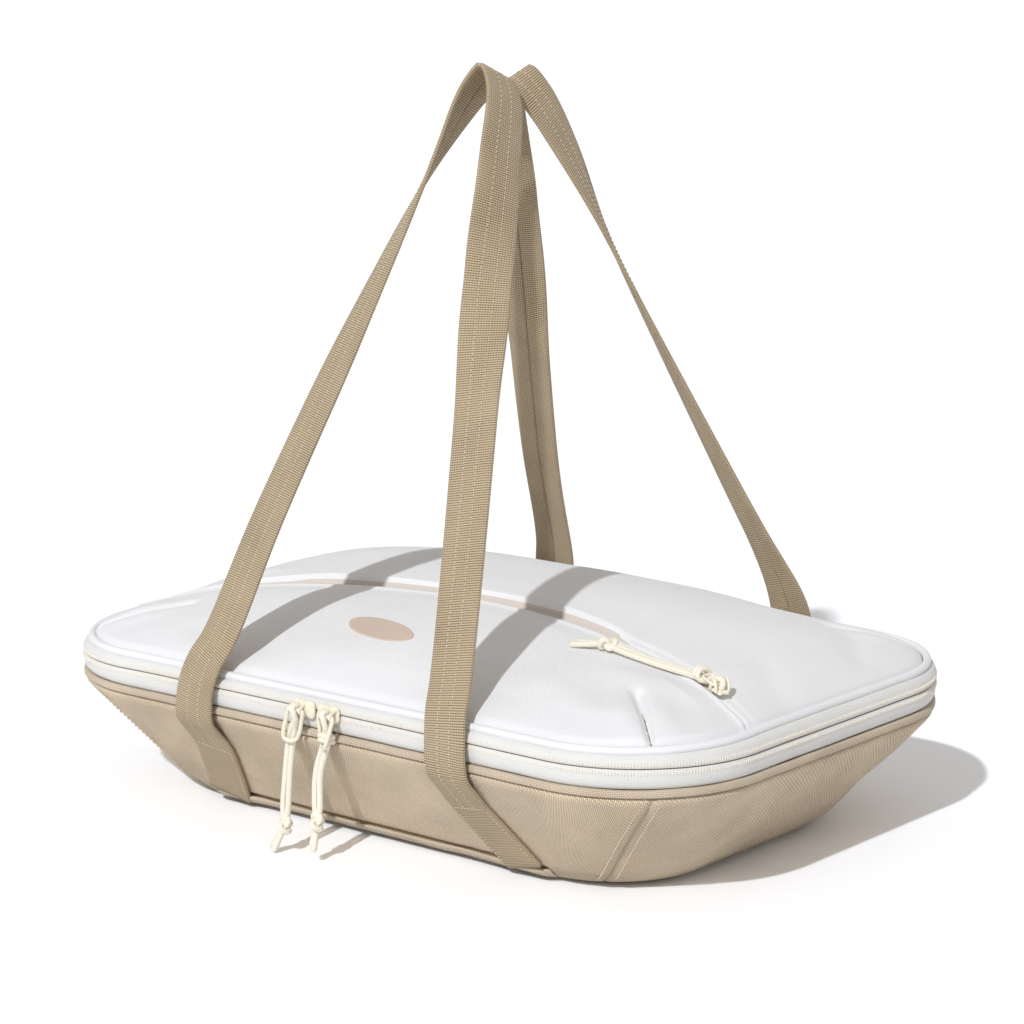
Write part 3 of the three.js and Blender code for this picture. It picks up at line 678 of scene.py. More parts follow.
for hand, (bar_x, drop, drift) in PULLS.items():
    place = rim_place(bar_x)
    tilted = drift + TAIL_TILT[hand]
    pull(
        f"{hand}_pull",
        place,
        hanging_route(drop, drift, SIDE_SHARES[hand]),
        place(drift, drop, -2),
        (place(tilted, drop + 13, -0.5), place(tilted - 3, drop + 14.5, 1.2)),
        (0, 0, -1),
        HITCHES[hand],
    )

# %% [markdown]
# The lid is a soft dome through the curved line of the pocket zip, fuller behind it and rounded off at
# its edge. The pocket's own pull lies on it, so the dome's height comes first. The rim itself is soft
# too: its upper bands hang a little lower along the front and at the left end.

# %% Dome of the lid
RIM_HALF_X = 230.5
RIM_HALF_Y = 154
RIM_CORNER = 78
LID_EDGE_Z = 95
LID_INSET = 7.2
LID_X = RIM_HALF_X - LID_INSET
LID_Y = RIM_HALF_Y - LID_INSET
LID_CORNER = RIM_CORNER - LID_INSET
REAR_FULLNESS = 7.4
ROLL_HEIGHT = 4.7
ROLL_START = 5
ROLL_RUN = 2.5
ROLL_X = (-218, -160, -110, -10, 66, 93, 112, 190)
ROLL_SHARE = (0.05, 0.5, 1, 0.66, 1, 0.72, 0.25, 0.1)
BOW_HALF_Y = RIM_HALF_Y - 3
BOW_POWER = 2.2
EDGE_ROUND = 12
ROUND_START = 40
LEFT_SAG = 3
LEFT_SAG_X = 120
LEFT_SAG_RUN = 110
FRONT_HANG = 2.4
MORE_HANG = 0.8
FRONT_HANG_Y = 60
FRONT_HANG_RUN = 90
HANG_REACH = 30
ARC_RADIUS = 475
ARC_APEX = np.array([0, -20, 120.5])
ARC_RISE = unit(np.array([0, 48, 18.5]))
ARC_AXIS = np.cross((1, 0, 0), ARC_RISE)
ARC_CENTRE = ARC_APEX - ARC_RADIUS * ARC_RISE
ARC_TILT = math.radians(20)


def arc_sag(x):
    return ARC_RADIUS - np.sqrt(ARC_RADIUS**2 - np.square(x))


def arc_y(x):
    """Where the pocket zip runs, seen from above."""
    return ARC_APEX[1] - arc_sag(x) * ARC_RISE[1]


def bow(y):
    return 1 - np.abs(y / BOW_HALF_Y) ** BOW_POWER


def edge_distance(x, y):
    """How far inside the lid's rounded edge a place lies."""
    past_x = np.abs(x) - (LID_X - LID_CORNER)
    past_y = np.abs(y) - (LID_Y - LID_CORNER)
    outside = np.hypot(np.maximum(past_x, 0), np.maximum(past_y, 0))
    return LID_CORNER - outside - np.minimum(np.maximum(past_x, past_y), 0)


def left_sag(x):
    """How much lower the lid lies towards its left end."""
    return LEFT_SAG * np.clip((-x - LEFT_SAG_X) / LEFT_SAG_RUN, 0, 1) ** 1.5


def front_hang(x, y):
    """How much lower the rim hangs along the front, most of all left of the middle."""
    front = np.clip((-y - FRONT_HANG_Y) / FRONT_HANG_RUN, 0, 1)
    return front * (FRONT_HANG + MORE_HANG * hump(x + 60, 120))


def roll_height(x):
    """How high the rolled front edge of the rear panel stands above the hem."""
    return ROLL_HEIGHT * np.interp(x, ROLL_X, ROLL_SHARE)


def dome_z(x, y, rolled=1):
    """The lid's height: a dome through the zip's arc, a rolled step behind it, round at its rear edge."""
    crown = ARC_APEX[2] - arc_sag(x) * ARC_RISE[2]
    fade = 1 - np.abs(x / RIM_HALF_X) ** 12
    height = (crown - LID_EDGE_Z) * fade * bow(y) / bow(arc_y(x))
    behind = y - arc_y(x)
    share = np.clip(behind / (LID_Y - arc_y(x)), 0, 1)
    fullness = REAR_FULLNESS * np.sin(np.pi * share) * (1 - np.abs(x / RIM_HALF_X) ** 6)
    roll = roll_height(x) * np.clip((behind - ROLL_START) / ROLL_RUN, 0, 1) * (1 - share) ** 1.2
    gap = np.maximum(edge_distance(x, y), 0)
    round_off = 1 - np.exp(-gap / EDGE_ROUND) * np.clip(behind / ROUND_START, 0, 1)
    hang = front_hang(x, y) * np.exp(-gap / HANG_REACH)
    return LID_EDGE_Z + (height + fullness + rolled * roll) * round_off - hang - left_sag(x)


def on_dome(x, y, lift):
    return np.array([x, y, dome_z(x, y) + lift])


def arc_axes(angle):
    """Point, along, across and out on the pocket zip."""
    rise = np.sin(angle) * np.array([1, 0, 0]) + np.cos(angle) * ARC_RISE
    along = np.cos(angle) * np.array([1, 0, 0]) - np.sin(angle) * ARC_RISE
    across = rise * math.cos(ARC_TILT) - ARC_AXIS * math.sin(ARC_TILT)
    out = rise * math.sin(ARC_TILT) + ARC_AXIS * math.cos(ARC_TILT)
    return ARC_CENTRE + ARC_RADIUS * rise, along, across, out


print("lid crown:", dome_z(0, -20), "behind it:", dome_z(0, 50))

# %% [markdown]
# The pocket's pull starts at its slider, at the right end of the pocket zip, and lies along the lid.
# Its places near the bar are given on the pull itself, and the rest on the dome.

# %% Pocket pull
POCKET_ANGLE = math.asin(195.5 / ARC_RADIUS)
BAR_STANDOFF = 5.85
TAPE_LIFT = 0.3
pocket_point, pocket_along, pocket_across, pocket_out = arc_axes(POCKET_ANGLE)
pocket_bar = pocket_point + pocket_out * (TAPE_LIFT + BAR_STANDOFF)


def pocket_place_at(bar):
    """Places on a pull that lies back along the pocket zip."""
    return pull_frame(pocket_across, -pocket_along, pocket_out, bar)


def in_pocket_frame(point):
    offset = np.asarray(point) - pocket_bar
    return (offset @ pocket_across, offset @ -pocket_along, offset @ pocket_out)


pocket_place = pocket_place_at(pocket_bar)
pocket_route = [
    (0, 11, -2.24),
    (-0.5, 19, -3.2),
    in_pocket_frame(on_dome(150, -54, 3.6)),
    in_pocket_frame(on_dome(124, -53, 4.8)),
]
pocket_knot = on_dome(118, -53, 5.6)
pocket_tails = (on_dome(100, -55.5, 3.4), on_dome(99, -60.5, 3.2))
pocket_hitch = (-0.4, 15.5, -1.0)
pull("pocket_pull", pocket_place, pocket_route, pocket_knot, pocket_tails, (-1, 0, 0), pocket_hitch)

# %% [markdown]
# The rim is a rounded rectangle. One number runs round it: whole numbers are the ends of straight sides
# and corners, starting on the front. The tub, the binding, the zip and the piping all use it, at their
# own height and inset.

# %% Outline of the rim
CORNER_X = np.array([-1, 1, 1, -1, -1])
CORNER_Y = np.array([-1, -1, 1, 1, -1])
RUN_LENGTHS = (305, 122, 152, 122, 305, 122, 152, 122)
UPPER_RUN = 8
BINDING_Z = 68
BINDING_RUN = 15


def outline(u, half_x, half_y, corner):
    """Place and outward direction on a rounded rectangle; 0 to 1 is the front, 1 to 2 its right corner."""
    u = np.mod(np.asarray(u, float), 8)
    run = np.floor(u).astype(int)
    part = u - run
    turns = run // 2
    bend = run % 2
    first = turns + bend
    slide = np.where(bend, 0, part)
    x = (CORNER_X[first] + (CORNER_X[turns + 1] - CORNER_X[first]) * slide) * (half_x - corner)
    y = (CORNER_Y[first] + (CORNER_Y[turns + 1] - CORNER_Y[first]) * slide) * (half_y - corner)
    angle = np.radians(-90 + 90 * turns + 90 * part * bend)
    out_x, out_y = np.cos(angle), np.sin(angle)
    return x + corner * out_x, y + corner * out_y, out_x, out_y


def around(first, last, step):
    """Places round the rim from first to last, about a step apart in millimetres."""
    marks = [first, *range(math.floor(first) + 1, math.ceil(last)), last]
    out = []
    for a, b in zip(marks, marks[1:]):
        count = max(1, round(RUN_LENGTHS[math.floor(a) % 8] * (b - a) / step))
        out.extend(np.linspace(a, b, count, endpoint=False))
    return np.array([*out, last])


def rim_band(u, profile):
    """Rows of points round the rim for a profile of (inset, height) points."""
    rows = []
    for inset, z in profile:
        x, y, _, _ = outline(u, RIM_HALF_X - inset, RIM_HALF_Y - inset, RIM_CORNER - inset)
        upper = np.clip((z - ZIP_Z) / UPPER_RUN, 0, 1)
        high = np.clip((z - BINDING_Z) / BINDING_RUN, 0, 1)
        rows.append(np.stack([x, y, z - front_hang(x, y) * upper - left_sag(x) * high], axis=1))
    return np.stack(rows, axis=1)


def ripple(rows, size, reach):
    """Small hand-sewn unevenness: each point moves a little by smooth noise."""
    flat = rows.reshape(-1, 3)
    moved = [p + np.array(noise.noise_vector(Vector(p / reach))) * size for p in flat]
    return np.array(moved).reshape(rows.shape)


print("rim length:", sum(RUN_LENGTHS))

# %% [markdown]
# The tub is four canvas walls and a bottom. It leans outwards to the rim, rounds under at the foot, and
# its cloth is soft: folds run from where it is pulled, beside the straps and along the ends. A few
# folds are listed one by one, as a sculpting brush would press them in. The walls meet in slanting sewn
# seams at the corners.

# %% Tub walls
TUB_Z = (0, 3, 10, 64.4)
TUB_LEAN_X = (64.5, 56.5, 46.5, 1.5)
TUB_LEAN_Y = (60, 51, 43, 1.5)
TUB_CORNER = (26, 22, 18, 1)
WALL_FOOT = 4
WALL_TOP = 68.5
WALL_STEP = 3.6
CANVAS = 1.2
HALF_CORNER = 0.5
SEAM_LEAN = 0.14
SEAM_DENT = 0.9
SEAM_WIDTH = 1.3
SEAM_FADE = 14
SLACK = 0.6
SLOW_FOLD = 1.1
SLOW_WIDE = 60
SLOW_HIGH = 40
TOP_TUCK = 2.4
TUCK_Z = 66.8
TUCK_RUN = 1.2
SLOT_Z = 9.1
SLOT_HALF_X = 123
SLOT_DEPTH = 4.2
SLOT_HEIGHT = 0.8
SLOT_END = 4
FOOT_HEIGHTS = [1.9, 2.4, 3.2, 4.6, 6.4, 7.6, 8.4, 9.1, 9.8, 10.8]
WALL_HEIGHTS = [*FOOT_HEIGHTS, *np.linspace(13, 65, 22), 66.4, 67.2, 67.8, WALL_TOP]
LONG_FOLDS = [
    (-150, 22, -122, 46, 7, 1.5), (-132, 12, -124, 30, 5, -1.2), (-74, 14, -64, 44, 6, 1.2),
    (-60, 16, -22, 26, 9, -1.4), (30, 20, 58, 34, 9, 1.0), (70, 14, 82, 34, 5, -1.2),
    (136, 20, 160, 50, 10, 1.0), (-20, 40, 40, 54, 8, 0.8),
]
END_FOLDS = [
    (-88, 18, -20, 33, 6, 1.9), (-70, 34, 10, 46, 7, 1.3), (-30, 16, 50, 24, 6, 1.4),
    (10, 38, 80, 30, 7, -1.2), (30, 46, 84, 54, 7, 1.0),
]


def tub_ring(u, z, inset=0):
    """The tub's outline at a height, and its outward directions."""
    lean_x = np.interp(z, TUB_Z, TUB_LEAN_X) + inset
    lean_y = np.interp(z, TUB_Z, TUB_LEAN_Y) + inset
    corner = RIM_CORNER - np.interp(z, TUB_Z, TUB_CORNER) - inset
    x, y, out_x, out_y = outline(u, RIM_HALF_X - lean_x, RIM_HALF_Y - lean_y, corner)
    return np.stack([x, y, np.full_like(x, z)], axis=1), np.stack([out_x, out_y, np.zeros_like(x)], axis=1)


def wall_share(z):
    """How far up the wall a height is, from 0 to 1."""
    return np.clip((z - WALL_FOOT) / (WALL_TOP - WALL_FOOT), 0, 1)


def fold_height(s, t, folds):
    """Soft ridges and dents. Each runs from one place to another, with a width and a height."""
    total = np.zeros(np.broadcast(s, t).shape)
    for s0, t0, s1, t1, width, height in folds:
        size = math.hypot(s1 - s0, t1 - t0)
        along_s, along_t = (s1 - s0) / size, (t1 - t0) / size
        run = (s - s0) * along_s + (t - t0) * along_t
        side = (s - s0) * along_t - (t - t0) * along_s
        past = np.maximum(0, np.maximum(-run, run - size))
        total = total + height * hump(side, width) * hump(past, width * 1.5)
    return total


def tub_wall(label, number, long_side):
    first = 2 * number - HALF_CORNER
    last = first + 2
    u = around(first, last, WALL_STEP)
    near_first = np.clip(1 - (u - first) / HALF_CORNER, 0, 1)
    near_last = np.clip(1 - (last - u) / HALF_CORNER, 0, 1)
    narrow = SEAM_LEAN * (near_first - near_last) * (1 if long_side else -1)
    folds = LONG_FOLDS if long_side else END_FOLDS
    rows = []
    for z in WALL_HEIGHTS:
        share = wall_share(z)
        ring, out = tub_ring(u + narrow * (1 - share), z)
        s = ring[:, 0] if long_side else ring[:, 1]
        middle = math.sin(math.pi * share) ** 0.8
        spots = [(p[0] / SLOW_WIDE, p[1] / SLOW_WIDE, z / SLOW_HIGH) for p in ring]
        slow = np.array([noise.noise(Vector(spot)) for spot in spots])
        stand = middle * (fold_height(s, z, folds) + SLOW_FOLD * slow - SLACK)
        gap = np.minimum(np.linalg.norm(ring - ring[0], axis=1), np.linalg.norm(ring - ring[-1], axis=1))
        stand = stand * np.clip(gap / SEAM_FADE, 0, 1) - SEAM_DENT * hump(gap, SEAM_WIDTH)
        stand = stand - TOP_TUCK * np.clip((z - TUCK_Z) / TUCK_RUN, 0, 1)
        if long_side:
            in_slot = np.clip((SLOT_HALF_X - np.abs(s)) / SLOT_END, 0, 1)
            stand = stand - SLOT_DEPTH * in_slot * hump(z - SLOT_Z, SLOT_HEIGHT)
        rows.append(ring + out * stand[:, None])
    wall = cloth_grid(f"{label}_wall", np.array(rows), "tan_canvas", outside=away_from_middle)
    thicken(wall, CANVAS)
    return stand_for(wall, "base", "tan_canvas", f"base_{label}_panel")


WALLS = (("front", True), ("right_end", False), ("rear", True), ("left_end", False))
walls = [tub_wall(label, number, long_side) for number, (label, long_side) in enumerate(WALLS)]
print("wall faces:", [len(w.data.polygons) for w in walls])

# %% [markdown]
# The bottom is one flat piece of canvas, turned up at its edge to meet the walls. It is made of rings
# that shrink towards the middle, as a face is inset again and again.

# %% Tub bottom
BOTTOM_Z = 0.6
BOTTOM_SCALES = (1, 0.93, 0.7, 0.4, 0.1, 0)


def nested_rows(u, z, scales, inset=0):
    """Rings that shrink towards the middle, for a flat bottom."""
    outer = tub_ring(u, z, inset)[0]
    return np.array([np.column_stack([outer[:, 0] * s, outer[:, 1] * s, outer[:, 2]]) for s in scales])


round_u = around(0, 8, 6)[:-1]
turned_up = np.array([tub_ring(round_u, z, inset)[0] for z, inset in ((2.2, 0.3), (1.2, 0))])
bottom_rows = np.concatenate([turned_up, nested_rows(round_u, BOTTOM_Z, BOTTOM_SCALES)])
bottom = cloth_grid("tub_bottom", bottom_rows, "tan_canvas", wrap=True, outside=downwards)
stand_for(bottom, "base", "tan_canvas", "base_bottom_panel")
print("bottom faces:", len(bottom.data.polygons))

# %% [markdown]
# Stitches are real thread. One stitch is a stretched ball; an Array modifier repeats it and a Curve
# modifier lays the row on a line, so a whole seam costs a few clicks. The first seams are at the tub's
# corners.

# %% Stitch rows
SEAM_STITCH = (2.9, 1.8, 0.9)
SEAM_ROW = 4.6
SEAM_LIFT = 0.35
SEAM_HEIGHTS = np.linspace(6, 65.5, 24)


def thread_curve(line):
    """A curve object through the points, to lay a row on."""
    data = bpy.data.curves.new("lay_line", "CURVE")
    data.dimensions = "3D"
    data.twist_mode = "Z_UP"
    spline = data.splines.new("POLY")
    spline.points.add(len(line) - 1)
    flat = np.column_stack([line * MM, np.ones(len(line))])
    spline.points.foreach_set("co", flat.astype(np.float32).ravel())
    curve = bpy.data.objects.new("lay_line", data)
    bpy.context.scene.collection.objects.link(curve)
    return curve


def repeat_on_line(obj, line, pitch):
    """Repeats the object at a pitch and lays the row on the line."""
    curve = thread_curve(line)
    only(obj)
    row = obj.modifiers.new("row", "ARRAY")
    row.use_relative_offset = False
    row.use_constant_offset = True
    row.constant_offset_displace = (pitch * MM, 0, 0)
    row.count = max(1, int(line_length(line) / pitch))
    lay = obj.modifiers.new("lay", "CURVE")
    lay.object = curve
    lay.deform_axis = "POS_X"
    bpy.ops.object.modifier_apply(modifier=row.name)
    bpy.ops.object.modifier_apply(modifier=lay.name)
    bpy.data.objects.remove(curve)


def one_stitch(name, length, width, height, finish):
    """A stretched ball, just past the origin."""
    bpy.ops.object.select_all(action="DESELECT")
    bpy.ops.mesh.primitive_uv_sphere_add(segments=6, ring_count=4, radius=0.5)
    stitch = bpy.context.object
    stitch.name = name
    stitch.scale = (length * MM, width * MM, height * MM)
    stitch.location = (length * MM * 0.6, 0, 0)
    bpy.ops.object.transform_apply(location=True, rotation=True, scale=True)
    bpy.ops.object.shade_smooth()
    stitch.data.materials.append(finishes[finish])
    return stitch


def stitch_row(name, line, finish, size):
    """A row of stitches; its size is (pitch, length, thread)."""
    pitch, length, thread = size
    stitch = one_stitch(name, length, thread, thread, finish)
    repeat_on_line(stitch, np.asarray(line, float), pitch)
    return stitch


def seam_line(seam, lean, shift):
    """A line up the wall beside a slanting seam, shift millimetres to one side."""
    points = []
    for z in SEAM_HEIGHTS:
        ring, out = tub_ring(np.array([seam + lean * (1 - wall_share(z))]), z)
        side = np.array([-out[0][1], out[0][0], 0])
        points.append(ring[0] + side * shift + out[0] * SEAM_LIFT)
    return np.array(points)


for number in range(4):
    lean = SEAM_LEAN if number % 2 else -SEAM_LEAN
    for label, shift in (("a", -SEAM_ROW), ("b", SEAM_ROW)):
        line = seam_line(2 * number + 1 + HALF_CORNER, lean, shift)
        row = stitch_row(f"corner_stitching_{number}{label}", line, "pale_thread", SEAM_STITCH)
        stand_for(row, "base", "tan_canvas")
print("corner seams stitched")

# %% [markdown]
# A folded strip of canvas binds the top of the walls. Above it sit the two tapes of the zip, each
# puffed outwards, with a narrow slot between them, and the piping finishes the lid's edge. Profiles are
# (inset, height) points.

# %% Rim binding, tapes and piping
BINDING = [
    (1.9, 68.0), (0.5, 68.1), (0.1, 68.6), (0.0, 69.9), (0.2, 71.2), (0.8, 71.9), (2.2, 72.1),
    (3.6, 71.8), (3.8, 68.3),
]
LOWER_TAPE = [
    (3.6, 71.9), (2.2, 72.8), (1.0, 74.6), (0.35, 77.2), (0.05, 80.2), (0.15, 82.2),
    (0.6, 82.9), (1.5, 82.8), (1.7, 80), (2.4, 76), (3.6, 73.2), (4.8, 71.9),
]
UPPER_TAPE = [
    (0.6, 83.6), (0.15, 84.2), (0.05, 85.6), (0.3, 87.8), (1.0, 89.8), (2.2, 91.2),
    (3.8, 91.9), (5.0, 91.7), (3.7, 90.6), (2.4, 88.6), (1.7, 86), (1.5, 83.8),
]
PIPING_RADIUS = 2.3
PIPING_INSET = 5.3
PIPING_Z = 93.4
PIPING = [
    (PIPING_INSET - PIPING_RADIUS * math.cos(t), PIPING_Z + PIPING_RADIUS * math.sin(t))
    for t in full_turn(12)
]
BINDING_RIPPLE = (0.25, 22)
TAPE_RIPPLE = (0.2, 30)
PIPING_RIPPLE = (0.15, 16)
whole_rim = around(0, 8, 4)[:-1]
zip_run = around(5, 12, 4)


def rim_cloth(name, rows, finish, body, slot, node, loop=False):
    """A closed band round the rim that stands for a CAD node."""
    return stand_for(cloth_grid(name, rows, finish, wrap=True, loop=loop), body, slot, node)


binding_rows = ripple(rim_band(whole_rim, BINDING), *BINDING_RIPPLE)
rim_cloth(
    "rim_binding", binding_rows, "binding_cloth", "base", "tan_binding", "base_rim_binding", loop=True
)
for half, body, profile in (("lower", "base", LOWER_TAPE), ("upper", "lid", UPPER_TAPE)):
    tape_rows = ripple(rim_band(zip_run, profile), *TAPE_RIPPLE)
    rim_cloth(f"{half}_zip_band", tape_rows, "zip_tape_cloth", body, "zip_tape", f"{half}_zip_tape")
piping_rows = ripple(rim_band(whole_rim, PIPING), *PIPING_RIPPLE)
rim_cloth("piping", piping_rows, "piping_cloth", "lid", "piping", "lid_piping", loop=True)
print("rim band points:", binding_rows.shape, tape_rows.shape, piping_rows.shape)

# %% [markdown]
# The zip's teeth are a coil of nylon sewn to each tape. From outside its loops show as a row of short
# upright stitches on either side of the slot. The slot itself looks dark: a dark band behind it paints
# the shade inside.

# %% Zip teeth
TOOTH_SIZE = (0.85, 0.8, 2.7)
TOOTH_PITCH = 1.65
TOOTH_INSET = 0.05
ZIP_HALVES = {
    "lower": ("base", 80.9, [(1.1, 82.6), (1.1, 83.2), (3.4, 83.2), (3.4, 81.4), (2.4, 81.2)]),
    "upper": ("lid", 85.9, [(1.1, 83.4), (1.1, 84.0), (2.4, 85.4), (3.4, 85.2), (3.4, 83.4)]),
}
for half, (body, tooth_z, _) in ZIP_HALVES.items():
    teeth = one_stitch(f"{half}_zip_teeth", *TOOTH_SIZE, "tooth_thread")
    repeat_on_line(teeth, rim_band(zip_run, [(TOOTH_INSET, tooth_z)])[:, 0], TOOTH_PITCH)
    stand_for(teeth, body, "zip_coil")
# painted shade: a dark band behind each half of the slot, where only shade shows
for half, (body, _, profile) in ZIP_HALVES.items():
    slot_shade_rows = rim_band(zip_run, profile)
    rim_cloth(f"{half}_coil", slot_shade_rows, "painted_gap_shade", body, "zip_coil", f"{half}_zip_coil")
for stop in ("left_zip_end_stop", "right_zip_end_stop"):
    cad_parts[stop].data.materials.clear()
    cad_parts[stop].data.materials.append(finishes["painted_metal"])
print("teeth:", len(teeth.data.polygons))

# %% [markdown]
# At the back the zip stops, and a plain strip of tape joins the lid to the tub. It is the hinge: its band
# runs from the tub's edge up to the lid's.

# %% Rear hinge strip
HINGE = [
    (3.6, 71.9), (2.2, 72.8), (1.0, 74.8), (0.4, 78), (0.2, 82), (0.3, 86), (0.9, 89), (2.0, 91),
    (3.8, 91.9), (5.0, 91.7), (3.6, 90.4), (2.4, 88.4), (1.7, 86), (1.5, 82), (1.7, 78), (2.4, 75.6),
    (3.6, 73.2), (4.8, 71.9),
]
hinge = cloth_grid("rear_hinge_strip", rim_band(around(4, 5, 6), HINGE), "zip_tape_cloth", wrap=True)
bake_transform(hinge)
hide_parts("rear_hinge_lower_strip", "rear_hinge_upper_strip")
print("hinge faces:", len(hinge.data.polygons))

# %% [markdown]
# The lid is padded. A pocket panel covers its front, and a rear panel its back, with the pocket zip
# between them. Both are domes of canvas whose edges tuck in beside the piping. The pocket panel ends in
# a hem, a soft lip along the zip, and a dart takes up the cloth's fullness at each corner: a pinched
# crease that runs to the piping.

# %% Lid panels
LID_COLUMNS = 320
LID_ROWS = 100
LID_END = 0.995
HEM_BACK = 0.8
HEM_LIP = 1.1
HEM_WIDTH = 2.4
HEM_TUCK = 0.7
FRONT_FOLD = 0.7
REAR_FOLD = 1.2
EDGE_TUCK = 2.6
EDGE_WIDTH = 2.2
PADDING = 1.4
PAD_EDGE = 26
PAD_HEM = 18
SLOW_PUFF = 1.1
DART_TOP = np.array([165, 89])
DART_END = np.array([206, 130])
DART_DEPTH = 4.2
DART_WIDTH = 3.0
DART_NARROWS = 1.6
DART_START = 5
DART_HEM = 12
DART_FULLNESS = 2.0
FULL_BESIDE = 9
FULL_WIDTH = 8
FULL_LENGTH = 24
LID_FOLDS = [
    (-208, -70, -176, -52, 8, -1.6), (-196, -30, -160, -20, 8, 1.3), (-214, 10, -186, 30, 8, -1.4),
    (150, -74, 182, -70, 11, 1.4), (120, -104, 160, -118, 12, 1.4), (212, -30, 190, -8, 9, -1.0),
    (204, 60, 182, 84, 9, -1.6), (60, -128, 110, -124, 9, -0.9), (-120, -120, -60, -126, 10, -1.0),
]


def zip_gap(x):
    """The strip of tape that shows behind the hem; past the slider it closes to a line."""
    return np.interp(x, (-215, -200, 104, 120, 188, 196), (0.3, 6.4, 6.4, 1.4, 1.4, 0.3))


def lid_edge_y(x):
    """How far the lid reaches to the front or rear at x."""
    beyond = np.clip(np.abs(x) - (LID_X - LID_CORNER), 0, LID_CORNER)
    return LID_Y - LID_CORNER + np.sqrt(LID_CORNER**2 - beyond**2)


def dart_dip(x, y):
    """A pinched crease towards each corner, deepest near the piping, with full cloth on both sides."""
    size = np.linalg.norm(DART_END - DART_TOP)
    along = (DART_END - DART_TOP) / size
    offset_x, offset_y = np.abs(x) - DART_TOP[0], np.abs(y) - DART_TOP[1]
    run = offset_x * along[0] + offset_y * along[1]
    side = offset_x * along[1] - offset_y * along[0]
    pinched = DART_WIDTH - DART_NARROWS * np.clip(run / size, 0, 1)
    crease = -DART_DEPTH * hump(np.maximum(0, -run), DART_START) * hump(side, pinched)
    full = DART_FULLNESS * hump(np.abs(side) - FULL_BESIDE, FULL_WIDTH) * hump(run - size / 2, FULL_LENGTH)
    gap = np.maximum(edge_distance(x, y), 0)
    return crease * np.minimum(1, gap / 3) + full * np.minimum(1, gap / 10)


def lid_panel(name, front, nodes):
    shares = np.linspace(0, 1, LID_ROWS)
    shares = np.sin(shares * np.pi / 2) if front else 1 - np.cos(shares * np.pi / 2)
    rows = []
    for x in LID_X * np.sin(np.linspace(-1, 1, LID_COLUMNS) * np.pi / 2 * LID_END):
        edge = lid_edge_y(x)
        seam = np.clip(arc_y(x) - HEM_BACK + (0 if front else zip_gap(x)), -edge, edge)
        low, high = (-edge, seam) if front else (seam, edge)
        y = low + (high - low) * shares
        gap = np.maximum(edge_distance(x, y), 0)
        hem = np.abs(y - seam)
        inner = np.minimum(1, gap / PAD_EDGE) * np.minimum(1, hem / PAD_HEM)
        slow = np.array([noise.noise(Vector((x / 60, v / 45, 1.7))) for v in y])
        z = dome_z(x, y) + inner * (SLOW_PUFF * slow + fold_height(x, y, LID_FOLDS))
        z = z + dart_dip(x, y) * np.minimum(1, hem / DART_HEM) - EDGE_TUCK * hump(gap, EDGE_WIDTH)
        if front:
            z = z + PADDING * inner + HEM_LIP * hump(hem - HEM_WIDTH, HEM_WIDTH)
        z = z - HEM_TUCK * hump(hem, FRONT_FOLD if front else REAR_FOLD)
        rows.append(np.column_stack([np.full_like(y, x), y, z]))
    panel = cloth_grid(name, np.array(rows), "lid_canvas", outside=upwards)
    thicken(panel, CANVAS)
    return stand_for(panel, "lid", "white_canvas", *nodes)


pocket_panel = lid_panel("pocket_panel", True, ["lid_pocket_panel", "pocket_back_panel"])
rear_panel = lid_panel("lid_rear", False, ["lid_rear_panel"])
print("lid faces:", len(pocket_panel.data.polygons), len(rear_panel.data.polygons))

# %% [markdown]
# At the bottom of each dart a thin dark tube paints the shade in the pleat's crease. It is dropped onto
# the panel from above, as a line is snapped to a surface.

# %% Dart crease shade
DART_SHARES = np.linspace(0.3, 0.93, 12)
DART_SHADE_RADIUS = 0.45
ABOVE_LID = 0.3


def dart_crease_shade(name, panel, x_sign, y_sign):
    points = []
    for share in DART_SHARES:
        x, y = DART_TOP + share * (DART_END - DART_TOP)
        hit, place, _, _ = panel.ray_cast((x_sign * x * MM, y_sign * y * MM, ABOVE_LID), (0, 0, -1))
        if hit:
            points.append(np.array(place) / MM)
    # painted shade: a thin dark line along the dart's crease
    thread = tube(name, smooth_line(points, 1.0), DART_SHADE_RADIUS, "painted_gap_shade", sides=6)
    stand_for(thread, "lid", "white_canvas")


for end, panel, y_sign in (("front", pocket_panel, -1), ("rear", rear_panel, 1)):
    for hand, x_sign in (("left", -1), ("right", 1)):
        dart_crease_shade(f"{end}_{hand}_dart_crease_shade", panel, x_sign, y_sign)
print("dart seams:", 4)

# %% [markdown]
# The pocket zip hides under the hem. Behind it the rear panel's edge is rolled over and faced with a
# thin strip, which stands a little above the hem and sinks in towards its left end. Two thin bands
# along the arc are enough. Their profiles are (across, out, share of the roll's height). The strip's
# colour is the tape's pinkish tint darkened to beige, a painted shade under the rolled edge.

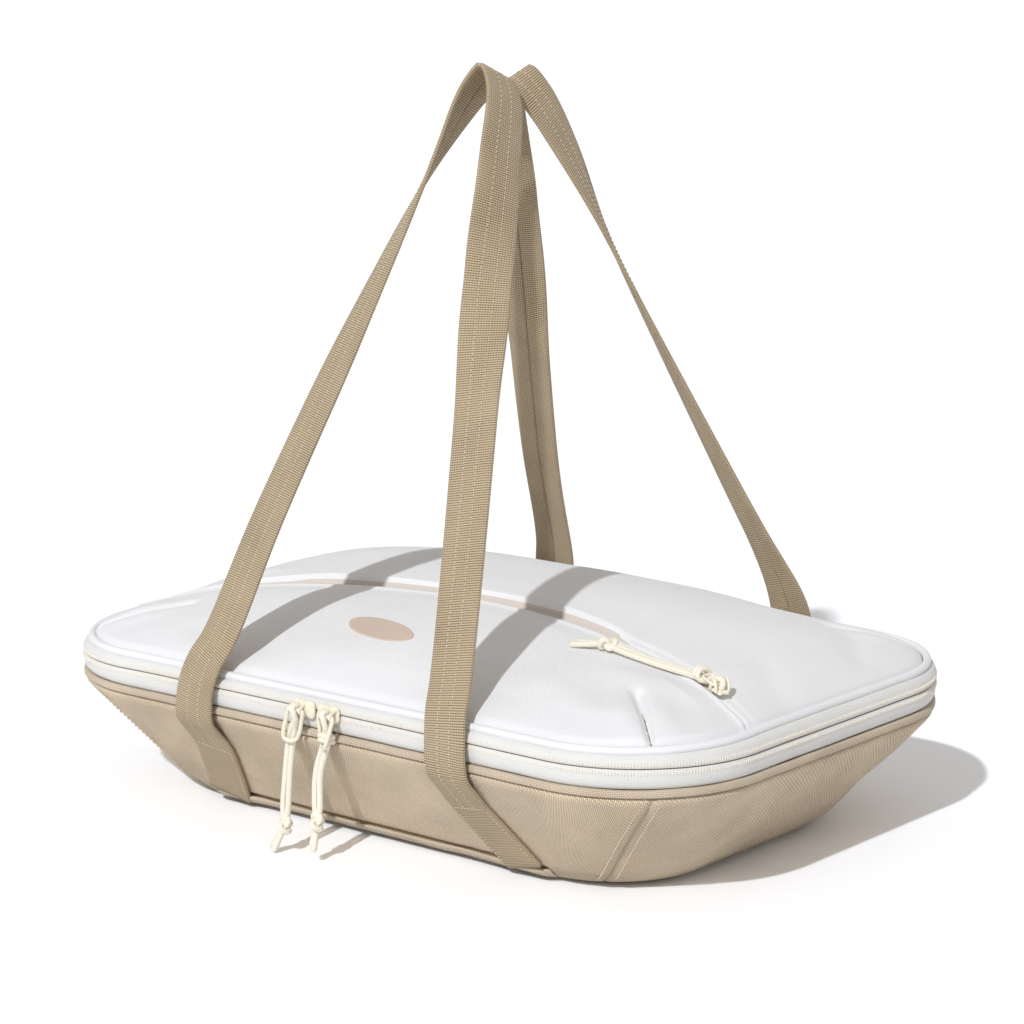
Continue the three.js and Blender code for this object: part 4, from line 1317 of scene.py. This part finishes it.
# %% Pocket zip
ARC_PLACES = np.linspace(math.asin(-212 / ARC_RADIUS), math.asin(191 / ARC_RADIUS), 160)
SINK_X = (-212, -195, -175, -150, -120)
SINK = (4.5, 3.4, 1.8, 1.0, 0)
POCKET_STRIPS = {
    "front": [(-6, -1.9, 0), (-5, -1.0, 0), (-1, -0.5, 0), (-0.3, -0.7, 0), (-0.3, -1.8, 0)],
    "rear": [
        (0.3, -1.8, 0), (0.4, -0.7, 0), (4.9, -0.6, 0.05), (5.4, -0.3, 0.42), (6.3, 0, 0.56),
        (7.6, 0.1, 0.62), (9, 0, 0.62), (10.2, -0.8, 0.5), (10.2, -1.8, 0),
    ],
}
for label, profile in POCKET_STRIPS.items():
    rows = []
    for angle in ARC_PLACES:
        point, _, across, out = arc_axes(angle)
        roll = roll_height(point[0])
        drop = np.array([0, 0, left_sag(point[0]) + np.interp(point[0], SINK_X, SINK)])
        rows.append([point + across * b + out * w + (0, 0, roll * share) - drop for b, w, share in profile])
    # painted shade: the strip's colour is darkened for the shade under the roll
    strip = cloth_grid(f"pocket_{label}_strip", np.array(rows), "strip_cloth_painted_shade", wrap=True)
    stand_for(strip, "lid", "zip_tape", f"pocket_{label}_zip_tape")
print("pocket zip strips:", len(POCKET_STRIPS))

# %% [markdown]
# A plain oval patch is sewn on the pocket panel. It is a stack of ovals that follow the dome: up its
# edge, over a small rounding and in to the middle.

# %% Label
LABEL_X, LABEL_Y = -13, -88.5
LABEL_HALF = (26.4, 10.2)
LABEL_TURN = math.radians(-11)
LABEL_STEPS = ((1, 0.4), (1, 1.9), (0.985, 2.2), (0.93, 2.1), (0.5, 2.2), (0.2, 2.2), (0, 2.2))


def label_ring(scale, lift):
    turn = full_turn(48)
    wide = LABEL_HALF[0] * scale * np.cos(turn)
    deep = LABEL_HALF[1] * scale * np.sin(turn)
    x = LABEL_X + wide * math.cos(LABEL_TURN) - deep * math.sin(LABEL_TURN)
    y = LABEL_Y + wide * math.sin(LABEL_TURN) + deep * math.cos(LABEL_TURN)
    return np.column_stack([x, y, dome_z(x, y) + lift])


label_rows = np.array([label_ring(scale, lift) for scale, lift in LABEL_STEPS])
oval = cloth_grid("label_oval", label_rows, "label_cloth", wrap=True, outside=upwards)
stand_for(oval, "lid", "label", "label_patch")
print("label faces:", len(oval.data.polygons))

# %% [markdown]
# Inside, both halves are lined with a pale wipe-clean foil over foam. The lining shows when the lid is
# open.

# %% Linings
TUB_FLOOR_Z = 10.8
TUB_LINING_HEIGHTS = (TUB_FLOOR_Z, 11.4, 13, 20, 32, 46, 58, 66)
TUB_LINING_TOP = [(9.5, 73), (7.5, 78), (5.2, 80.2), (3.0, 80.4)]
LID_LINING_EDGE = [(2.6, 86), (5, 85.6), (9, 86.4)]
LID_LINING_LOW = 86.4
LID_DEPTH = 14.6
TUB_LINING_RIPPLE = (0.7, 26)
LID_LINING_RIPPLE = (0.6, 30)


def tub_lining_rows(u):
    rows = [tub_ring(u, z, 8.4 if z < 12 else 8.0)[0] for z in TUB_LINING_HEIGHTS]
    top = rim_band(u, TUB_LINING_TOP)
    flat = nested_rows(u, TUB_FLOOR_Z, (0.1, 0.5, 0.85, 0.97), 9.5)
    middle = np.zeros_like(rows[0]) + np.array([0, 0, TUB_FLOOR_Z])
    return np.array([middle, *flat, *rows, *np.swapaxes(top, 0, 1)])


def lid_lining_rows(u):
    rows = [*np.swapaxes(rim_band(u, LID_LINING_EDGE), 0, 1)]
    edge = rim_band(u, [(12, 0)])[:, 0]
    for s in (1, 0.96, 0.85, 0.65, 0.4, 0.15, 0):
        x, y = edge[:, 0] * s, edge[:, 1] * s
        rows.append(np.column_stack([x, y, np.maximum(dome_z(x, y, rolled=0) - LID_DEPTH, LID_LINING_LOW)]))
    return np.array(rows)


lining_rows = ripple(tub_lining_rows(round_u), *TUB_LINING_RIPPLE)
lining = cloth_grid("tub_lining", lining_rows, "lining_foil", wrap=True)
face_outwards(lining, lambda c: upwards(c) - away_from_middle(c))
stand_for(lining, "base", "lining", "base_lining", "base_foam", "base_board")
lining_rows = ripple(lid_lining_rows(round_u), *LID_LINING_RIPPLE)
lid_lining = cloth_grid("lid_lining_cloth", lining_rows, "lining_foil", wrap=True)
face_outwards(lid_lining, downwards)
stand_for(lid_lining, "lid", "lining", "lid_lining", "lid_foam")
print("lining faces:", len(lining.data.polygons), len(lid_lining.data.polygons))

# %% [markdown]
# Each handle is one long strap. It comes out of a slot above a welt at the foot of the wall, is sewn up
# the wall, leaves it near the rim and climbs to the top, twisting a quarter turn on the way, then comes
# down the other side. Tables keyed by side and leg say how each leg differs: side is -1 for the front
# and leg is 1 for the right.

# %% Handle line
LEAN_Z = 97
HANDLE_RISE = 320
HANDLE_LEG = [
    (108.4, 111.4, 7.6), (99.9, 126.6, 28), (93.5, 140.6, 46), (93.2, 149.6, 56), (92.6, 156, 63.5),
    (92.1, 157.4, 70), (91.3, 157.2, 84), (89.3, 154.4, 97), (86, 147.5, 112), (71, 120, 177),
    (37, 64, 307), (21.5, 35, 373), (10, 19, 407),
]
HANDLE_TOP = (15, 417)
HANDLE_TOP_X = {-1: 8, 1: -1}
HANDLE_SLUMP = {-1: 0, 1: 3.5}
HANDLE_STEP = 3
TWISTS = {
    (-1, 1): ((0, 0), (0.12, -4), (0.5, 0), (0.65, 34), (0.76, 70), (1, 90)),
    (-1, -1): ((0, 0), (0.12, 9), (0.5, 18), (0.73, 36), (0.85, 52), (1, 90)),
    (1, 1): ((0, 0), (0.12, 22), (0.5, 40), (0.73, 50), (0.85, 72), (1, 90)),
    (1, -1): ((0, 0), (0.12, -8), (0.5, 0), (0.73, 40), (0.85, 78), (1, 90)),
}
LEG_DRIFT = {(-1, 1): 1.5, (-1, -1): 8, (1, 1): 10, (1, -1): 9.5}
MID_DRIFT = {(-1, 1): 1.6, (-1, -1): -2.4, (1, 1): -1, (1, -1): 0}
RIM_TWIST = {(-1, 1): -5, (-1, -1): 6, (1, 1): 0, (1, -1): 0}
TWIST_SPREAD = 13
TOP_TIP = 0.42
CUPPING = 0.09
CUPPED_TWIST = (40, 18)
FREE_Z = 60
LEG_DRIFT_Z = (132, 44)
MID_DRIFT_Z = (265, 75)
RIM_TWIST_Z = (92, 26)


def hump_at(value, spot):
    """A soft bump about a spot that is (middle, width)."""
    return hump(value - spot[0], spot[1])


def handle_leg(side, leg):
    """Points up one leg of the strap, on its side of the top."""
    points = []
    for x, y, z in HANDLE_LEG:
        share = max(0, (z - LEAN_Z) / HANDLE_RISE)
        drift = LEG_DRIFT[side, leg] * hump_at(z, LEG_DRIFT_Z) if z > FREE_Z else 0
        drift += MID_DRIFT[side, leg] * hump_at(z, MID_DRIFT_Z)
        reach = leg * x + HANDLE_TOP_X[side] * share + drift
        points.append((reach, side * y, z - HANDLE_SLUMP[side] * share**4))
    return points


def handle_line(side):
    """The strap's middle line, its width direction and how far it cups."""
    top = (HANDLE_TOP_X[side], side * HANDLE_TOP[0], HANDLE_TOP[1] - HANDLE_SLUMP[side])
    line = smooth_line([*handle_leg(side, 1), top, *reversed(handle_leg(side, -1))], HANDLE_STEP)
    share = np.clip((line[:, 2] - LEAN_Z) / HANDLE_RISE, 0, 1)
    leg_sign = np.where(np.arange(len(line)) < len(line) / 2, 1, -1)
    at_rim = hump_at(line[:, 2], RIM_TWIST_Z)
    twists = {s: np.interp(share, *zip(*TWISTS[side, s])) + at_rim * RIM_TWIST[side, s] for s in (1, -1)}
    twist = np.where(leg_sign > 0, twists[1], twists[-1])
    even = np.ones(TWIST_SPREAD) / TWIST_SPREAD
    twist = np.convolve(np.pad(twist, TWIST_SPREAD // 2, mode="edge"), even, mode="valid")
    turn = np.radians(twist)
    across = np.column_stack([leg_sign * np.cos(turn), -side * np.sin(turn), -TOP_TIP * share**4])
    return line, across, 1 - CUPPING * hump_at(twist, CUPPED_TWIST)


print("front strap points:", len(handle_line(-1)[0]))

# %% [markdown]
# The strap is a folded band: on its inner face the two edges meet in a slit, and two rows of stitches
# hold them. Its line runs up the tub's wall and then up to the handle's top, bending near the rim. More
# stitches fix it to the wall: a row near each edge and one across.

# %% Handles
WEBBING_WIDTH = 28.6
WEBBING = 2.6
THREAD_LIFT = 0.05
SEWN_LOW_Z = 10
SEWN_TOP_Z = 46
SEWN_STITCH = (2.6, 1.9, 0.7)
STRAP_STITCH = (3.0, 2.0, 0.75)
STRAP_ROW = 4.2
EDGE_ROW = 12.2
UNSEWN_ENDS = 16


def strap_outline(outer):
    """Outline of the folded band: a flat outer face, round edges and a slit along the inner face."""
    half = WEBBING_WIDTH / 2
    thick = WEBBING / 2
    points = [
        (-half, 0), (-half + 0.4, thick * 0.75), (-half + 1.4, thick), (-half * 0.5, thick), (0, thick),
        (half * 0.5, thick), (half - 1.4, thick), (half - 0.4, thick * 0.75), (half, 0),
        (half - 0.4, -thick * 0.75), (half - 1.4, -thick), (half * 0.5, -thick), (1.4, -thick),
        (0.7, -thick * 0.9), (0, thick * 0.2), (-0.7, -thick * 0.9), (-1.4, -thick),
        (-half * 0.5, -thick), (-half + 1.4, -thick), (-half + 0.4, -thick * 0.75),
    ]
    return [(a, outer * w) for a, w in points]


def follow_handle(piece):
    """Bakes the piece's placement into its mesh."""
    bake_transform(piece)


def joined(name, pieces):
    """Joins pieces into one object."""
    only(pieces[0])
    for piece in pieces:
        piece.select_set(True)
    bpy.ops.object.join()
    pieces[0].name = name
    return pieces[0]


def anchor_stitching(name, line, way, across, lift):
    """Where the strap is sewn to the wall: a row near each edge and one across."""
    rows = []
    half = len(line) // 2
    for low, high in ((0, half), (half, len(line))):
        sewn = [i for i in range(low, high) if SEWN_LOW_Z < line[i][2] < SEWN_TOP_Z]
        part = slice(sewn[0], sewn[-1] + 1)
        edges = carried(line[part], way[part], across[part], [(-EDGE_ROW, lift), (EDGE_ROW, lift)])
        top = sewn[-1] if low == 0 else sewn[0]
        part = slice(top, top + 1)
        spread = [(shift, lift) for shift in np.linspace(-EDGE_ROW, EDGE_ROW, 12)]
        over = carried(line[part], way[part], across[part], spread)[0]
        for row in (edges[:, 0], edges[:, 1], over):
            rows.append(stitch_row(name, row, "tan_thread", SEWN_STITCH))
    return joined(name, rows)


def handle(name, side, nodes):
    line, across, cupped = handle_line(side)
    way = ways(line)
    outer = -side
    lift = outer * (WEBBING / 2 + THREAD_LIFT)
    flat_rows = carried(line, way, across, strap_outline(outer))
    rows = line[:, None] + (flat_rows - line[:, None]) * cupped[:, None, None]
    caps = [np.repeat(line[i][None, None], rows.shape[1], axis=1) for i in (0, -1)]
    strap = cloth_grid(name, np.concatenate([caps[0], rows, caps[1]]), "webbing_cloth", wrap=True)
    follow_handle(strap)
    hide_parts(*nodes)
    for label, shift in (("a", -STRAP_ROW), ("b", STRAP_ROW)):
        row_line = carried(line, way, across, [(shift, lift)])[UNSEWN_ENDS:-UNSEWN_ENDS, 0]
        row = stitch_row(f"{name}_stitching_{label}", row_line, "tan_thread", STRAP_STITCH)
        follow_handle(row)
    stand_for(anchor_stitching(f"{name}_anchor_stitching", line, way, across, lift), "base", "webbing")
    print(name, "length", line_length(line))


for end, side in (("front", -1), ("rear", 1)):
    anchors = [f"{end}_{hand}_strap_anchor" for hand in ("left", "right")]
    handle(f"{end}_handle", side, [f"{end}_handle_webbing", *anchors])

# %% [markdown]
# The welt is a folded strip that closes the slot where the straps pass under the tub. It is fuller over
# the straps.

# %% Base welts
WELT_HALF_X = 124
WELT_PROFILE = [
    (0, 2.4), (1.9, 2.9), (2.7, 4.4), (2.8, 6.2), (2.3, 7.7), (1.2, 8.4), (0.2, 8.2), (-0.6, 7.0),
    (-0.6, 3.2),
]
WELT_LIFT = 0.2
WELT_RIPPLE = (0.45, 24)
STRAP_X = 107
STRAP_FULLNESS = 0.75
STRAP_SPREAD_X = 17
WELT_END = 6
WELT_THIN = 0.2


def welt(name, side, node):
    rows = []
    for x in np.linspace(-WELT_HALF_X, WELT_HALF_X, 110):
        thin = min(1, (WELT_HALF_X - abs(x)) / WELT_END + WELT_THIN)
        over_strap = 1 + STRAP_FULLNESS * math.exp(-(((abs(x) - STRAP_X) / STRAP_SPREAD_X) ** 4))
        row = []
        for out, z in WELT_PROFILE:
            y = RIM_HALF_Y - np.interp(z, TUB_Z, TUB_LEAN_Y) + WELT_LIFT
            row.append((x, side * (y + out * thin * over_strap), z))
        rows.append(row)
    strip = cloth_grid(name, ripple(np.array(rows), *WELT_RIPPLE), "binding_cloth", wrap=True)
    stand_for(strip, "base", "tan_canvas", node)


for end, side in (("front", -1), ("rear", 1)):
    welt(f"{end}_welt", side, f"{end}_base_welt")
print("welts:", 2)

# %% [markdown]
# A zip slider is a small rounded body with a bridge on its front, and a wire bail that swings in the
# bridge. The body starts as a cube, its edges are bevelled and smoothed, and its front is swollen. The
# bridge and the bail are bent wire. Bails are soft enough to be bent: each hangs to one side and is
# turned a little.

# %% Sliders and bails
PLATE = 2
WAIST = 0.16
BRIDGE_LOW = -BAR_STANDOFF + 1.5
BRIDGE = ((2.9, BRIDGE_LOW), (1.9, -0.6), (0, 1.7), (-1.9, -0.6), (-2.9, BRIDGE_LOW))
BRIDGE_HALF = 3.9
BRIDGE_RADIUS = 0.95
BAIL_OUTLINE = [
    (-0.8, 0), (0, 0), (0.8, 0), (0.98, 0.06), (1.0, 0.35), (0.96, 0.7), (0.7, 0.93),
    (0, 1), (-0.7, 0.93), (-0.96, 0.7), (-1.0, 0.35), (-0.98, 0.06),
]
RIM_BAIL = (5.2, 18, 1.2)
POCKET_BAIL = (4.2, 13, 0.9)
BAIL_SET = {"left": (4.8, 18), "right": (2.0, -40)}
RIM_SLIDER = {"left": (15.5, 10, -2.2, 2.2), "right": (15.5, 10, 2.2, 2.2)}
POCKET_SLIDER = (7, 11, 0, 0.9)
POCKET_RAISE = 1.2


def slider(label, place, size):
    """A slider's body and its bridge; size is (along the bar, along the hang, shift, swelling)."""
    bar, hang, shift, swollen = size
    body = f"{label}_slider"
    bpy.ops.object.select_all(action="DESELECT")
    bpy.ops.mesh.primitive_cube_add(size=1)
    plate = bpy.context.object
    plate.name = f"{body}_body"
    on_whole_mesh(bpy.ops.mesh.bevel, offset=0.3, segments=4, profile=0.5)
    soft = plate.modifiers.new("soft", "SUBSURF")
    soft.levels = 1
    soft.render_levels = 1
    bpy.ops.object.modifier_apply(modifier=soft.name)
    for vertex in plate.data.vertices:
        b, h, w = vertex.co
        swell = swollen * (1 - min(1, (2 * b) ** 2)) * (1 - min(1, (2 * h) ** 2))
        waist = 1 - WAIST * math.cos(2 * math.pi * b) * abs(2 * h)
        depth = -BAR_STANDOFF + PLATE / 2 + w * PLATE + (swell if w > 0 else 0)
        vertex.co = place(b * bar + shift, h * hang * waist, depth) * MM
    only(plate)
    on_whole_mesh(bpy.ops.mesh.normals_make_consistent, inside=False)
    bpy.ops.object.shade_smooth()
    plate.data.materials.append(finishes["painted_metal"])
    stand_for(plate, body, "cream_metal", body)
    for letter, sign in (("a", -1), ("b", 1)):
        post = smooth_line([place(sign * BRIDGE_HALF, h, w) for h, w in BRIDGE], 0.6)
        arch = tube(f"{body}_body_bridge_{letter}", post, BRIDGE_RADIUS, "painted_metal", sides=8)
        stand_for(arch, body, "cream_metal")


def bail(label, place, size, lean, turn):
    """A wire loop; lean moves its end sideways and turn twists its end about its length."""
    half_wide, long, radius = size
    points = []
    for b, h in [*BAIL_OUTLINE, BAIL_OUTLINE[0]]:
        angle = math.radians(turn) * h
        wide = half_wide * b
        points.append(place(wide * math.cos(angle) + lean * h, long * h, wide * math.sin(angle)))
    wire = tube(f"{label}_bail", smooth_line(points, 0.7)[:-1], radius, "painted_metal", loop=True)
    stand_for(wire, f"{label}_pull", "cream_metal", f"{label}_pull_bail")


for hand, (bar_x, _, _) in PULLS.items():
    slider(hand, rim_place(bar_x), RIM_SLIDER[hand])
    bail(hand, rim_place(bar_x), RIM_BAIL, *BAIL_SET[hand])
slider("pocket", pocket_place_at(pocket_bar + POCKET_RAISE * pocket_out), POCKET_SLIDER)
bail("pocket", pocket_place, POCKET_BAIL, 0, 0)
print("sliders:", 3)
